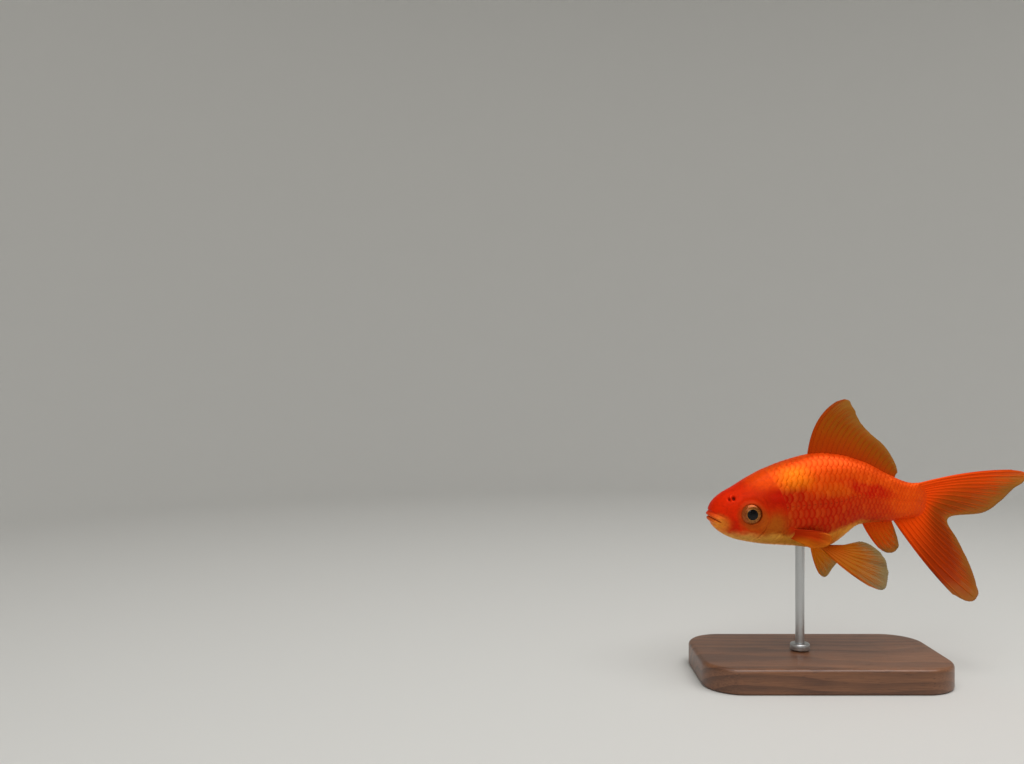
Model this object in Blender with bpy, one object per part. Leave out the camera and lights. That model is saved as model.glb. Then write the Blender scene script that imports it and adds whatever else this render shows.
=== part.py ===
"""A life-size model of a young goldfish, held in mid-water by a plain display stand.

The fish faces -X, with its left flank towards -Y. The origin is the middle of the
stand's underside. Places on the fish are in millimetres from the tip of its upper
lip: along towards the tail, out towards the fish's right, and up.
"""

import math

import bmesh
import bpy
import numpy as np
from mathutils import Matrix, Vector

MM = 0.001
LIP = Vector((-27.0, 0.0, 40.0)) * MM  # the tip of the upper lip
GAP = 0.3  # clearance between neighbouring solids

# The body, station by station: along, back, belly, widest level, half width.
BODY_STATIONS = {
    "lip tip": (0.0, -0.4, -0.4, -0.4, 0.0),
    "mouth": (0.6, 2.2, -2.2, -0.3, 1.9),
    "nostrils": (3.2, 4.95, -4.75, 0.0, 3.4),
    "brow": (6.2, 6.7, -6.2, 0.15, 4.45),
    "eyes": (9.8, 8.95, -7.0, 0.3, 5.25),
    "cheeks": (15.0, 11.6, -7.65, 0.4, 6.1),
    "shoulders": (20.6, 13.6, -7.95, 1.0, 6.6),
    "dorsal fin front": (26.4, 14.85, -8.35, 1.9, 6.5),
    "belly": (30.8, 14.75, -7.5, 2.4, 6.0),
    "vent": (34.4, 14.15, -4.8, 3.4, 5.3),
    "behind the vent": (36.6, 13.45, -2.8, 3.8, 4.8),
    "anal fin front": (38.8, 12.75, -2.6, 3.9, 4.3),
    "anal fin back": (45.5, 9.4, -2.1, 3.6, 3.0),
    "stalk": (50.5, 7.5, -1.3, 3.1, 2.0),
    "tail root": (55.0, 7.3, -1.2, 3.0, 0.9),
}
UPPER_ROUNDNESS = 2.05  # superellipse power of a section above its widest level
LOWER_ROUNDNESS = 2.25
SPINE_SWAY = 1.4  # how far the tail root lies to the fish's right of the head
SWAY_START, SWAY_END = 26.0, 55.0
RING_SIDES = 36

# Head and trunk meet on an arc that bulges back to the rear edge of the gill covers.
# Its bends say how fast it falls forward above and below the rearmost place.
GILL_REAR, GILL_LEVEL = 18.3, -1.1
NECK_BEND_UP, NECK_BEND_DOWN = 0.03, 0.09
HEAD_END, TRUNK_START = 20.0, 12.0
VENT_CUT = 38.0  # trunk and tail stalk meet here
STALK_END = 55.0

GILL_FRONT, GILL_TOP, GILL_BOTTOM = 14.2, 4.4, -6.3
GILL_INNER = 3.3  # half the width of the head that is left between the gill covers
GILL_PROUD = 0.22

EYE_PLACE = (10.4, 4.0, 0.0)
EYE_RADIUS, EYE_DEPTH = 2.6, 2.1  # the eyeball is flattened sideways

# Side outlines of the jaws, along and up. Their cuts run right across the head.
LOWER_JAW = ((-1.5, -0.75), (3.2, -2.4), (6.2, -8.5), (-1.5, -8.5))
UPPER_JAW = ((-1.5, 1.9), (1.9, 1.5), (3.25, -2.05), (-1.5, -0.42))
BOTH_JAWS = ((-1.5, 2.22), (2.15, 1.8), (3.65, -2.25), (6.65, -8.5), (-1.5, -8.5))
ACROSS = 9.0  # half the width of a cut that runs right across the body

# Fins. Each is a fan of rays from its root to its margin, and the arch holds the rays'
# control points, which bow them. A row is the ray's share of the fin from its front
# to its back, then along, out and up.
FIN_ROOT_THICKNESS, FIN_EDGE_THICKNESS = 0.9, 0.55
DORSAL_ROOT, ANAL_ROOT = (24.7, 46.4), (38.1, 45.7)  # first and last place along
DORSAL_ARCH = (
    (0.0, 25.8, 0.0, 25.1),
    (0.3, 34.0, 0.3, 22.6),
    (0.65, 41.2, 0.4, 16.6),
    (1.0, 47.2, 0.9, 10.2),
)
DORSAL_MARGIN = (
    (0.0, 34.0, 0.9, 28.4),
    (0.07, 35.6, 1.0, 28.0),
    (0.14, 36.6, 1.2, 26.4),
    (0.3, 38.3, 1.3, 22.8),
    (0.5, 41.0, 1.2, 19.6),
    (0.75, 44.9, 1.0, 15.9),
    (0.92, 47.2, 1.1, 11.8),
    (1.0, 47.7, 1.2, 9.9),
)
ANAL_ARCH = ((0.0, 40.2, 0.4, -6.4), (0.5, 43.7, 0.5, -6.2), (1.0, 46.4, 0.8, -3.4))
ANAL_MARGIN = (
    (0.0, 43.2, 0.2, -9.3),
    (0.2, 45.0, 0.1, -9.95),
    (0.42, 47.0, 0.2, -9.5),
    (0.6, 47.7, 0.5, -8.0),
    (0.85, 47.1, 0.8, -5.0),
    (1.0, 46.6, 0.9, -3.5),
)
TAIL_ROOT = (
    (0.0, 53.8, 1.3, 7.45),
    (0.25, 54.7, 1.35, 5.1),
    (0.5, 54.5, 1.35, 2.4),
    (0.75, 52.2, 1.2, -1.1),
    (1.0, 47.1, 0.8, -2.9),
)
TAIL_ARCH = (
    (0.0, 66.6, 2.2, 10.9),
    (0.25, 64.5, 2.1, 6.6),
    (0.5, 57.8, 1.6, 0.2),
    (0.75, 57.2, 0.8, -7.2),
    (1.0, 54.7, 0.0, -14.3),
)
TAIL_MARGIN = (
    (0.0, 79.4, 3.4, 10.4),
    (0.045, 81.1, 3.5, 9.5),
    (0.1, 80.9, 3.5, 8.0),
    (0.2, 77.8, 3.2, 5.9),
    (0.3, 74.4, 2.9, 2.8),
    (0.4, 69.5, 2.4, -0.3),
    (0.5, 60.4, 1.5, -1.5),
    (0.6, 62.6, 0.9, -7.0),
    (0.7, 65.0, 0.2, -12.2),
    (0.82, 66.7, -0.5, -17.7),
    (0.9, 66.8, -0.8, -20.2),
    (0.95, 65.2, -1.0, -21.7),
    (1.0, 61.6, -1.0, -21.2),
)
# The left pelvic fin is spread wide and the right one is swung further forward.
PELVIC_LEFT = (
    ((0.0, 26.7, -3.1, -8.7), (1.0, 29.7, -1.7, -8.7)),
    ((0.0, 31.2, -7.6, -13.2), (0.5, 34.6, -6.2, -10.2), (1.0, 33.6, -3.2, -8.0)),
    (
        (0.0, 37.7, -11.0, -16.7),
        (0.1, 39.5, -11.1, -16.9),
        (0.3, 41.2, -10.2, -14.2),
        (0.55, 41.2, -8.8, -11.0),
        (0.8, 39.4, -7.0, -8.6),
        (1.0, 36.8, -5.0, -7.9),
    ),
)
PELVIC_RIGHT = (
    ((0.0, 26.2, 3.1, -8.6), (1.0, 29.2, 1.7, -8.8)),
    ((0.0, 28.0, 6.6, -13.6), (0.5, 30.8, 6.0, -12.0), (1.0, 32.2, 3.2, -9.4)),
    (
        (0.0, 31.3, 10.6, -17.6),
        (0.1, 32.5, 10.8, -18.0),
        (0.3, 34.2, 10.2, -15.9),
        (0.55, 35.8, 8.6, -12.9),
        (0.8, 36.2, 6.8, -10.6),
        (1.0, 34.8, 4.8, -9.0),
    ),
)
# The pectoral fins lie back along the flanks. This is the right one.
PECTORAL_RIGHT = (
    ((0.0, 18.8, 6.35, -3.3), (1.0, 19.1, 5.75, -5.4)),
    ((0.0, 23.8, 7.7, -2.9), (0.5, 24.2, 7.7, -4.6), (1.0, 21.4, 6.8, -6.5)),
    (
        (0.0, 26.9, 8.1, -3.7),
        (0.12, 28.0, 8.3, -4.2),
        (0.35, 28.5, 8.3, -5.6),
        (0.65, 27.0, 8.0, -7.1),
        (1.0, 23.6, 7.2, -7.6),
    ),
)

# The stand's sizes are heights above the floor and widths.
BASE_SIZE = (60.0, 34.0, 6.0)
BASE_CORNER, BASE_BEVEL = 9.0, 0.8
ROD_RADIUS, ROD_ALONG = 1.1, 23.0
ROD_IN_BASE, ROD_IN_BELLY = 3.0, 2.0
COLLAR_RADIUS, COLLAR_HEIGHT = 2.4, 1.6


def material(name, colour, roughness, metallic=0.0):
    """A plain Principled finish."""
    made = bpy.data.materials.new(name)
    made.use_nodes = True
    shader = made.node_tree.nodes["Principled BSDF"]
    shader.inputs["Base Color"].default_value = (*colour, 1.0)
    shader.inputs["Roughness"].default_value = roughness
    shader.inputs["Metallic"].default_value = metallic
    return made


def smooth_curve(rows):
    """A function of the rows' first column that runs smoothly through the others."""
    rows = np.array(rows, float)
    places, values = rows[:, 0], rows[:, 1:]
    steps = np.diff(places)[:, None]
    slopes = np.diff(values, axis=0) / steps
    inner = (steps[1:] * slopes[:-1] + steps[:-1] * slopes[1:]) / (steps[1:] + steps[:-1])
    tangents = np.concatenate([slopes[:1], inner, slopes[-1:]])

    def value(place):
        i = int(np.clip(np.searchsorted(places, place) - 1, 0, len(steps) - 1))
        u = (np.clip(place, places[0], places[-1]) - places[i]) / steps[i]
        return (
            (2 * u**3 - 3 * u**2 + 1) * values[i]
            + (u**3 - 2 * u**2 + u) * steps[i] * tangents[i]
            + (3 * u**2 - 2 * u**3) * values[i + 1]
            + (u**3 - u**2) * steps[i] * tangents[i + 1]
        )

    return value


# The stations are read over the square root of their place, which rounds the snout.
profile_at_root = smooth_curve([(math.sqrt(s[0]), *s[1:]) for s in BODY_STATIONS.values()])


def profile(along):
    """Back, belly, widest level and half width at a place along the body."""
    return profile_at_root(math.sqrt(along))


def spine(along):
    """How far out the body's midline lies at a place along it."""
    share = max(0.0, (along - SWAY_START) / (SWAY_END - SWAY_START))
    return SPINE_SWAY * share**2


def body_ring(along, proud=0.0):
    """An upright ring round the body, pushed out by a little. It starts at the back."""
    back, belly, level, half = profile(along)
    ring = []
    for turn in np.arange(RING_SIDES) * 2 * math.pi / RING_SIDES:
        side, up = math.sin(turn), math.cos(turn)
        power = 2 / (UPPER_ROUNDNESS if up > 0 else LOWER_ROUNDNESS)
        reach = (back - level if up > 0 else level - belly) + proud
        out = math.copysign(abs(side) ** power, side) * (half + proud)
        rise = math.copysign(abs(up) ** power, up) * reach
        ring.append((along, spine(along) + out, level + rise))
    return ring


def add_object(name, shape, finish, smooth_angle):
    """Links a new object with the bmesh's shape, shaded smooth up to an angle."""
    bmesh.ops.recalc_face_normals(shape, faces=shape.faces)
    mesh = bpy.data.meshes.new(name)
    shape.to_mesh(mesh)
    shape.free()
    mesh.materials.append(finish)
    mesh.shade_smooth()
    mesh.set_sharp_from_angle(angle=math.radians(smooth_angle))
    made = bpy.data.objects.new(name, mesh)
    bpy.context.scene.collection.objects.link(made)
    return made


def loft(name, rings, finish, tip=None, strip_ends=False, smooth_angle=40.0):
    """A closed solid through rings of points. An end is one face, or a fan round the
    tip at the first ring, or with strip_ends a row of faces between a ring's halves."""
    shape = bmesh.new()
    rows = [[shape.verts.new(LIP + Vector(p) * MM) for p in ring] for ring in rings]
    count = len(rows[0])
    for near, far in zip(rows, rows[1:]):
        for i in range(count):
            j = (i + 1) % count
            shape.faces.new((near[i], near[j], far[j], far[i]))
    for row in (rows[0], rows[-1]):
        if tip and row is rows[0]:
            point = shape.verts.new(LIP + Vector(tip) * MM)
            for i in range(count):
                shape.faces.new((point, row[i], row[(i + 1) % count]))
        elif strip_ends:
            for i in range(count // 2 - 1):
                shape.faces.new((row[i], row[i + 1], row[-2 - i], row[-1 - i]))
        else:
            shape.faces.new(row)
    return add_object(name, shape, finish, smooth_angle)


def cutter(made):
    """Marks an object as a hidden Boolean cutter."""
    made.hide_render = True
    made.display_type = "WIRE"
    return made


def cut(target, tool, operation="DIFFERENCE"):
    """A Boolean of the target with a hidden cutter."""
    step = target.modifiers.new(f"{operation.lower()} {tool.name}", "BOOLEAN")
    step.operation = operation
    step.solver = "EXACT"
    step.object = tool


def side_cutter(name, outline, finish, near=-ACROSS, far=ACROSS):
    """A cutter with this side outline, along and up, that reaches from near to far."""
    rings = [[(along, out, up) for along, up in outline] for out in (near, far)]
    return cutter(loft(name, rings, finish))


def body_length(name, start, end, rings, finish, proud=0.0):
    """A closed length of the body between two upright cuts, or from the lip's tip."""
    places = np.linspace(math.sqrt(start), math.sqrt(end), rings) ** 2
    tip = None
    if start == 0.0:
        tip = (0.0, 0.0, BODY_STATIONS["lip tip"][1])
        places = places[1:]
    return loft(name, [body_ring(place, proud) for place in places], finish, tip)


def neck_at(height):
    """How far along the body the head ends at a height."""
    bend = NECK_BEND_UP if height > GILL_LEVEL else NECK_BEND_DOWN
    return GILL_REAR - bend * (height - GILL_LEVEL) ** 2


def behind_neck(clearance, rear):
    """The side outline from the neck's arc to a place far behind it."""
    low, high = -10.0, 15.0
    arc = [(neck_at(up) + clearance, up) for up in np.linspace(low, high, 19)]
    return arc + [(rear, high), (rear, low)]


def gill_outline(grown=0.0):
    """The side outline of a gill cover, whose rear edge is the neck's arc."""
    low, high, front = GILL_BOTTOM - grown, GILL_TOP + grown, GILL_FRONT - grown
    # The grown outline cuts the head, and runs out past its rear edge.
    arc = [(neck_at(up) + 3 * grown, up) for up in np.linspace(low, high, 11)]
    return arc + [(front, high - 0.8), (front, low + 0.3)]


def make_head(skin):
    """The head, its jaws, its gill covers and its eyes."""
    head = body_length("head", 0.0, HEAD_END, 24, skin)
    cut(head, side_cutter("cut_jaws", BOTH_JAWS, skin))
    cut(head, side_cutter("cut_neck", behind_neck(0.0, HEAD_END + 4.0), skin))
    for name, outline in (("lower_jaw", LOWER_JAW), ("upper_jaw", UPPER_JAW)):
        jaw = body_length(name, 0.0, 8.0, 15, skin)
        cut(jaw, side_cutter(f"keep_{name}", outline, skin), "INTERSECT")
    iris = material("eye", (0.62, 0.52, 0.36), 0.2)
    for side, word in ((-1, "left"), (1, "right")):
        make_gill_cover(head, side, word, skin)
        make_eyeball(f"eye_{word}", side, 0.0, iris)
        cut(head, cutter(make_eyeball(f"cut_socket_{word}", side, GAP, skin)))


def make_gill_cover(head, side, word, skin):
    """A thick gill cover, a little proud of the head, and the place that it fills."""
    inner, outer = side * GILL_INNER, side * 12.0
    cover = body_length(f"gill_cover_{word}", 13.0, 19.5, 9, skin, GILL_PROUD)
    keep = side_cutter(f"keep_gill_{word}", gill_outline(), skin, inner, outer)
    cut(cover, keep, "INTERSECT")
    inner -= side * GAP
    cut(head, side_cutter(f"cut_gill_{word}", gill_outline(GAP), skin, inner, outer))


def make_eyeball(name, side, grown, finish):
    """An ellipsoid whose poles point sideways."""
    shape = bmesh.new()
    bmesh.ops.create_uvsphere(shape, u_segments=20, v_segments=12, radius=MM)
    round_size, depth = EYE_RADIUS + grown, EYE_DEPTH + grown
    size = Matrix.Diagonal((round_size, round_size, depth, 1.0))
    bmesh.ops.transform(shape, matrix=size, verts=shape.verts)
    made = add_object(name, shape, finish, 40.0)
    along, out, up = EYE_PLACE
    made.location = LIP + Vector((along, side * out, up)) * MM
    made.rotation_euler = (math.pi / 2, 0.0, 0.0)
    return made


def make_body(skin):
    """The trunk and the tail stalk."""
    trunk = body_length("trunk", TRUNK_START, VENT_CUT - GAP / 2, 20, skin)
    keep = side_cutter("keep_trunk", behind_neck(GAP, VENT_CUT + 4.0), skin)
    cut(trunk, keep, "INTERSECT")
    stalk = body_length("tail_stalk", VENT_CUT + GAP / 2, STALK_END, 13, skin)
    cut(stalk, side_cutter("cut_tail_root", behind_tail_root(), skin))
    return trunk


def behind_tail_root():
    """The side outline behind the tail fin's root, less a clearance."""
    root = smooth_curve(TAIL_ROOT)
    places = [root(share)[[0, 2]] for share in np.linspace(0.0, 1.0, 13)]
    inside = np.array([50.0, 3.5])
    arc = [p - GAP * (p - inside) / np.linalg.norm(p - inside) for p in places]
    over, under = arc[0] + (-0.6, 3.0), arc[-1] + (-1.5, -3.0)
    far = STALK_END + 10.0
    return [tuple(p) for p in (over, *arc, under)] + [(far, under[1]), (far, over[1])]


def fin(name, rails, rays, steps, finish):
    """A fin as one plate that thins towards its margin. rails are its root, arch and
    margin, as functions of the ray's share, and steps are the points on each ray."""
    sheet = np.empty((rays, steps, 3))
    for i, share in enumerate(np.linspace(0.0, 1.0, rays)):
        root, arch, margin = (rail(share) for rail in rails)
        for j, reach in enumerate(np.linspace(0.0, 1.0, steps)):
            bowed = root + (arch - root) * 2 * reach * (1 - reach)
            sheet[i, j] = bowed + (margin - root) * reach**2
    normals = np.cross(np.gradient(sheet, axis=0), np.gradient(sheet, axis=1))
    normals /= np.linalg.norm(normals, axis=2, keepdims=True)
    half = np.linspace(FIN_ROOT_THICKNESS, FIN_EDGE_THICKNESS, steps)[None, :, None] / 2
    there, back = sheet + normals * half, sheet - normals * half
    rings = np.concatenate([there, back[:, ::-1]], axis=1)
    return loft(name, rings.tolist(), finish, strip_ends=True)


def midline_root(first, last, edge, clearance):
    """A fin's root along the back or the belly: edge 0 or 1 of the profile."""

    def root(share):
        along = first + (last - first) * share
        return np.array([along, spine(along), profile(along)[edge] + clearance])

    return root


def make_fins(finish):
    """All seven fins."""
    root = midline_root(*DORSAL_ROOT, 0, GAP)
    rails = root, smooth_curve(DORSAL_ARCH), smooth_curve(DORSAL_MARGIN)
    fin("dorsal_fin", rails, 16, 6, finish)
    root = midline_root(*ANAL_ROOT, 1, -GAP)
    rails = root, smooth_curve(ANAL_ARCH), smooth_curve(ANAL_MARGIN)
    fin("anal_fin", rails, 10, 5, finish)
    rails = [smooth_curve(rows) for rows in (TAIL_ROOT, TAIL_ARCH, TAIL_MARGIN)]
    fin("tail_fin", rails, 29, 9, finish)
    fin("pelvic_fin_left", [smooth_curve(rows) for rows in PELVIC_LEFT], 10, 7, finish)
    fin("pelvic_fin_right", [smooth_curve(rows) for rows in PELVIC_RIGHT], 10, 7, finish)
    for side, word in ((-1, "left"), (1, "right")):
        mirrored = np.array([1.0, 1.0, side, 1.0])
        rails = [smooth_curve(np.array(rows) * mirrored) for rows in PECTORAL_RIGHT]
        fin(f"pectoral_fin_{word}", rails, 9, 6, finish)


def bar(name, bottom, top, radius, bevel, finish):
    """An upright round bar on the rod's axis, between two heights above the floor."""
    shape = bmesh.new()
    size = dict(radius1=radius * MM, radius2=radius * MM, depth=(top - bottom) * MM)
    bmesh.ops.create_cone(shape, cap_ends=True, segments=24, **size)
    made = add_object(name, shape, finish, 30.0)
    made.location = (LIP.x + ROD_ALONG * MM, 0.0, (top + bottom) / 2 * MM)
    if bevel:
        edge = made.modifiers.new("soft edges", "BEVEL")
        edge.width = bevel * MM
        edge.segments = 2
    return made


def make_base(wood):
    """The base: a slab with round corners and softened edges."""
    shape = bmesh.new()
    bmesh.ops.create_cube(shape, size=MM)
    bmesh.ops.scale(shape, vec=BASE_SIZE, verts=shape.verts)
    upright = [e for e in shape.edges if abs(e.verts[0].co.z - e.verts[1].co.z) > MM]
    bmesh.ops.bevel(
        shape, geom=upright, offset=BASE_CORNER * MM, segments=8, profile=0.5, affect="EDGES"
    )
    base = add_object("stand_base", shape, wood, 30.0)
    base.location.z = BASE_SIZE[2] / 2 * MM
    edge = base.modifiers.new("soft edges", "BEVEL")
    edge.width = BASE_BEVEL * MM
    edge.segments = 3
    return base


def make_stand(trunk, wood, steel):
    """The base, a rod up into the belly, and a collar where the rod leaves the base."""
    base = make_base(wood)
    floor_to_belly = LIP.z / MM + profile(ROD_ALONG)[1]
    foot, top = BASE_SIZE[2] - ROD_IN_BASE, floor_to_belly + ROD_IN_BELLY
    bar("stand_rod", foot, top, ROD_RADIUS, 0.15, steel)
    low = BASE_SIZE[2] + GAP
    collar = bar("stand_collar", low, low + COLLAR_HEIGHT, COLLAR_RADIUS, 0.35, steel)
    wide = ROD_RADIUS + GAP
    cut(base, cutter(bar("cut_base_bore", foot - GAP, low + 1.0, wide, 0.0, steel)))
    cut(collar, cutter(bar("cut_collar_bore", low - 1.0, low + 3.0, wide, 0.0, steel)))
    socket = bar("cut_rod_socket", floor_to_belly - 3.0, top + GAP, wide, 0.0, steel)
    cut(trunk, cutter(socket))


def main():
    for left_over in list(bpy.data.objects):
        bpy.data.objects.remove(left_over)
    skin = material("skin", (0.80, 0.13, 0.012), 0.35)
    make_head(skin)
    trunk = make_body(skin)
    make_fins(material("fin", (0.82, 0.25, 0.03), 0.45))
    wood = material("walnut", (0.10, 0.045, 0.02), 0.4)
    steel = material("steel", (0.62, 0.62, 0.62), 0.25, metallic=1.0)
    make_stand(trunk, wood, steel)


main()
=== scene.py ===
"""The looks of a life-size young goldfish on a plain display stand.

Sizes on the fish are in millimetres from the tip of its upper lip: along towards the
tail, out towards the fish's right, and up. The stand's sizes come from its solids.
"""
import math

import bmesh
import bpy
import numpy as np
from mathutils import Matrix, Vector


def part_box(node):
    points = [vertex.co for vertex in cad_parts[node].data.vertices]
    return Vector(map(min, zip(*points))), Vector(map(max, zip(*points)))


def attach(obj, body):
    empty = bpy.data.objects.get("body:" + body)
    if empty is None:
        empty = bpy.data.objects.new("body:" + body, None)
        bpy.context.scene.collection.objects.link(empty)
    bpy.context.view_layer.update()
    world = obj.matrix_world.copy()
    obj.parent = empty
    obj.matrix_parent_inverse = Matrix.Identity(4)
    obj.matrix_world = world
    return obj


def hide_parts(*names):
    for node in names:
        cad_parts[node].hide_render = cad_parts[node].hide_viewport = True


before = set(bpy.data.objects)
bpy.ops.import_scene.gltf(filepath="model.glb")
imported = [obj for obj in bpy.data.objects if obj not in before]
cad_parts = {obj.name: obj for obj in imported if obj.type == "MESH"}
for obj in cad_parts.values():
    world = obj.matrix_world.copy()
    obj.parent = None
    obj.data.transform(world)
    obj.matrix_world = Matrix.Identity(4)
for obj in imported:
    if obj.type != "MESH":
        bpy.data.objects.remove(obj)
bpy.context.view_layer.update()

MM = 0.001
LIP = np.array([-27.0, 0.0, 40.0])  # the lip's tip, from the middle of the stand's foot
SEED = 20

# The body, station by station: along, back, belly, widest level, half width.
BODY_STATIONS = (
    (0.0, -0.4, -0.4, -0.4, 0.0),
    (0.6, 2.2, -2.2, -0.3, 1.9),
    (3.2, 4.95, -4.75, 0.0, 3.4),
    (6.2, 6.7, -6.2, 0.15, 4.45),
    (9.8, 8.95, -7.0, 0.3, 5.25),
    (15.0, 11.6, -7.65, 0.4, 6.1),
    (20.6, 13.6, -7.95, 1.0, 6.6),
    (26.4, 14.85, -8.35, 1.9, 6.5),
    (30.8, 14.75, -7.5, 2.4, 6.0),
    (34.4, 14.15, -4.8, 3.4, 5.3),
    (36.6, 13.45, -3.1, 3.8, 4.8),
    (38.8, 12.75, -2.6, 3.9, 4.3),
    (45.5, 9.4, -2.1, 3.6, 3.0),
    (50.5, 7.5, -1.3, 3.1, 2.0),
    (55.0, 7.3, -1.2, 3.0, 0.9),
)
UPPER_ROUNDNESS, LOWER_ROUNDNESS = 2.05, 2.25
SPINE_SWAY, SWAY_START, SWAY_END = 1.4, 26.0, 55.0
GILL_REAR, GILL_LEVEL = 18.3, -1.1
NECK_BEND_UP, NECK_BEND_DOWN = 0.03, 0.09
EYE_PLACE, EYE_RADIUS, EYE_DEPTH = (9.95, 3.95, 0.3), 2.6, 2.1
BODY_END = 56.0  # where the flesh's last ring lies, inside the tail fin
SKIN_SIDES = 320  # round the body

# Fins: the root, the arch that bows the rays, and the margin. A row is the ray's
# share of the fin from its front to its back, then along, out and up. A middle fin's
# root runs from one place along the back or the belly to another.
BACK, BELLY = 0, 1
DORSAL_ROOT, ANAL_ROOT = (24.7, 46.4), (38.1, 45.7)
DORSAL_ARCH = (
    (0.0, 25.8, 0.0, 25.1), (0.3, 34.0, 0.3, 22.6),
    (0.65, 41.2, 0.4, 16.6), (1.0, 47.2, 0.9, 10.2),
)
DORSAL_MARGIN = (
    (0.0, 34.0, 0.9, 28.4), (0.07, 35.6, 1.0, 28.0), (0.14, 36.6, 1.2, 26.4),
    (0.3, 38.3, 1.3, 22.8), (0.5, 41.0, 1.2, 19.6), (0.75, 44.9, 1.0, 15.9),
    (0.92, 47.2, 1.1, 11.8), (1.0, 47.7, 1.2, 9.9),
)
ANAL_ARCH = ((0.0, 40.2, 0.4, -6.4), (0.5, 43.7, 0.5, -6.2), (1.0, 46.4, 0.8, -3.4))
ANAL_MARGIN = (
    (0.0, 43.2, 0.2, -9.3), (0.2, 45.0, 0.1, -9.95), (0.42, 47.0, 0.2, -9.5),
    (0.6, 47.7, 0.5, -8.0), (0.85, 47.1, 0.8, -5.0), (1.0, 46.6, 0.9, -3.5),
)
TAIL_ROOT = (
    (0.0, 53.8, 1.3, 7.45), (0.25, 54.7, 1.35, 5.1), (0.5, 54.5, 1.35, 2.4),
    (0.75, 52.2, 1.2, -1.1), (1.0, 47.1, 0.8, -2.9),
)
TAIL_ARCH = (
    (0.0, 66.6, 2.2, 10.9), (0.25, 64.5, 2.1, 6.6), (0.5, 57.8, 1.6, 0.2),
    (0.75, 57.2, 0.8, -7.2), (1.0, 54.7, 0.0, -14.3),
)
TAIL_MARGIN = (
    (0.0, 79.4, 3.4, 10.4), (0.045, 81.1, 3.5, 9.5), (0.1, 80.9, 3.5, 8.0),
    (0.2, 77.8, 3.2, 5.9), (0.3, 74.4, 2.9, 2.8), (0.4, 69.5, 2.4, -0.3),
    (0.5, 60.4, 1.5, -1.5), (0.6, 62.6, 0.9, -7.0), (0.7, 65.0, 0.2, -12.2),
    (0.82, 66.7, -0.5, -17.7), (0.9, 66.8, -0.8, -20.2), (0.95, 65.2, -1.0, -21.7),
    (1.0, 61.6, -1.0, -21.2),
)
DORSAL, ANAL = (DORSAL_ARCH, DORSAL_MARGIN), (ANAL_ARCH, ANAL_MARGIN)
TAIL = (TAIL_ROOT, TAIL_ARCH, TAIL_MARGIN)
PELVIC_LEFT = (
    ((0.0, 26.7, -2.8, -7.4), (1.0, 29.7, -1.6, -7.7)),
    ((0.0, 31.2, -7.6, -13.2), (0.5, 34.6, -6.2, -10.2), (1.0, 33.8, -3.2, -7.7)),
    (
        (0.0, 37.7, -11.0, -16.7), (0.1, 39.5, -11.1, -16.9), (0.3, 41.2, -10.2, -14.2),
        (0.55, 41.3, -8.7, -10.6), (0.8, 39.6, -6.8, -7.7), (1.0, 36.8, -4.6, -6.0),
    ),
)
PELVIC_RIGHT = (
    ((0.0, 26.2, 2.8, -7.4), (1.0, 29.2, 1.6, -7.7)),
    ((0.0, 28.0, 6.6, -13.6), (0.5, 30.8, 6.0, -12.0), (1.0, 32.2, 3.2, -9.4)),
    (
        (0.0, 31.3, 10.6, -17.6), (0.1, 32.5, 10.8, -18.0), (0.3, 34.2, 10.2, -15.9),
        (0.55, 35.8, 8.6, -12.9), (0.8, 36.2, 6.8, -10.6), (1.0, 34.8, 4.8, -9.0),
    ),
)
PECTORAL_RIGHT = (
    ((0.0, 18.6, 5.55, -3.3), (1.0, 18.9, 4.65, -5.3)),
    ((0.0, 23.8, 7.7, -2.9), (0.5, 24.2, 7.7, -4.6), (1.0, 21.4, 6.8, -6.5)),
    (
        (0.0, 26.9, 8.1, -3.7), (0.12, 28.0, 8.3, -4.2), (0.35, 28.5, 8.3, -5.6),
        (0.65, 27.0, 8.0, -7.1), (1.0, 23.6, 7.2, -7.6),
    ),
)

# Nostrils: along, up, half length, half height and depth. A flap of skin parts them.
NOSTRILS = ((4.75, 3.75, 0.3, 0.36, 0.5), (5.75, 4.0, 0.42, 0.5, 0.6))
NOSTRIL_FLAP, FLAP_SIZE, FLAP_HEIGHT = (5.2, 3.95), (0.17, 0.5), 0.3

# The mouth's slit: its level at the lip, its slope, and how deep and wide it is.
MOUTH_LEVEL, MOUTH_SLOPE = -0.58, -0.51
MOUTH_DEPTH, MOUTH_WIDTH = 0.72, 0.13

# Pores of the head's sense canals: along and up.
SENSE_PORES = (
    (7.1, -1.2), (7.9, -2.5), (9.0, -3.45), (10.4, -3.85), (11.8, -3.6), (13.0, -2.7),
    (6.9, 1.6), (7.6, 3.0), (8.8, 4.1), (10.4, 4.6), (12.0, 4.3), (13.4, 3.5),
    (3.4, 1.9), (4.4, 2.5), (5.6, 2.7), (13.1, -4.9), (11.9, -5.7), (10.4, -6.0),
)

# The coat of scales.
SCALE_DEPTH = 0.16  # the skin under the scales lies this far inside the solids
SCALE_ROWS = 28  # right round the body
SCALE_COLUMNS = 38  # from the gill covers to the tail's root and past it
SCALE_RELIEF = 0.15  # how high a scale's rear edge stands over the bed
SIDE_LINE_ROW = 7.0  # the side line's distance from the chart's middle, in rows
CHART_ROWS, CHART_COLUMNS = 32.0, 40.0  # the size of the scales' chart
CHART_START = 10.5  # where the chart's first column lies, along the body
SCALE_PATCH = 0.045  # the size of one scale's patch on the bake map

# Where the flesh gives way to the tail fin, in millimetres from the tail's root.
THINNING_START, THINNING_END = -3.2, -0.5

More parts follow.
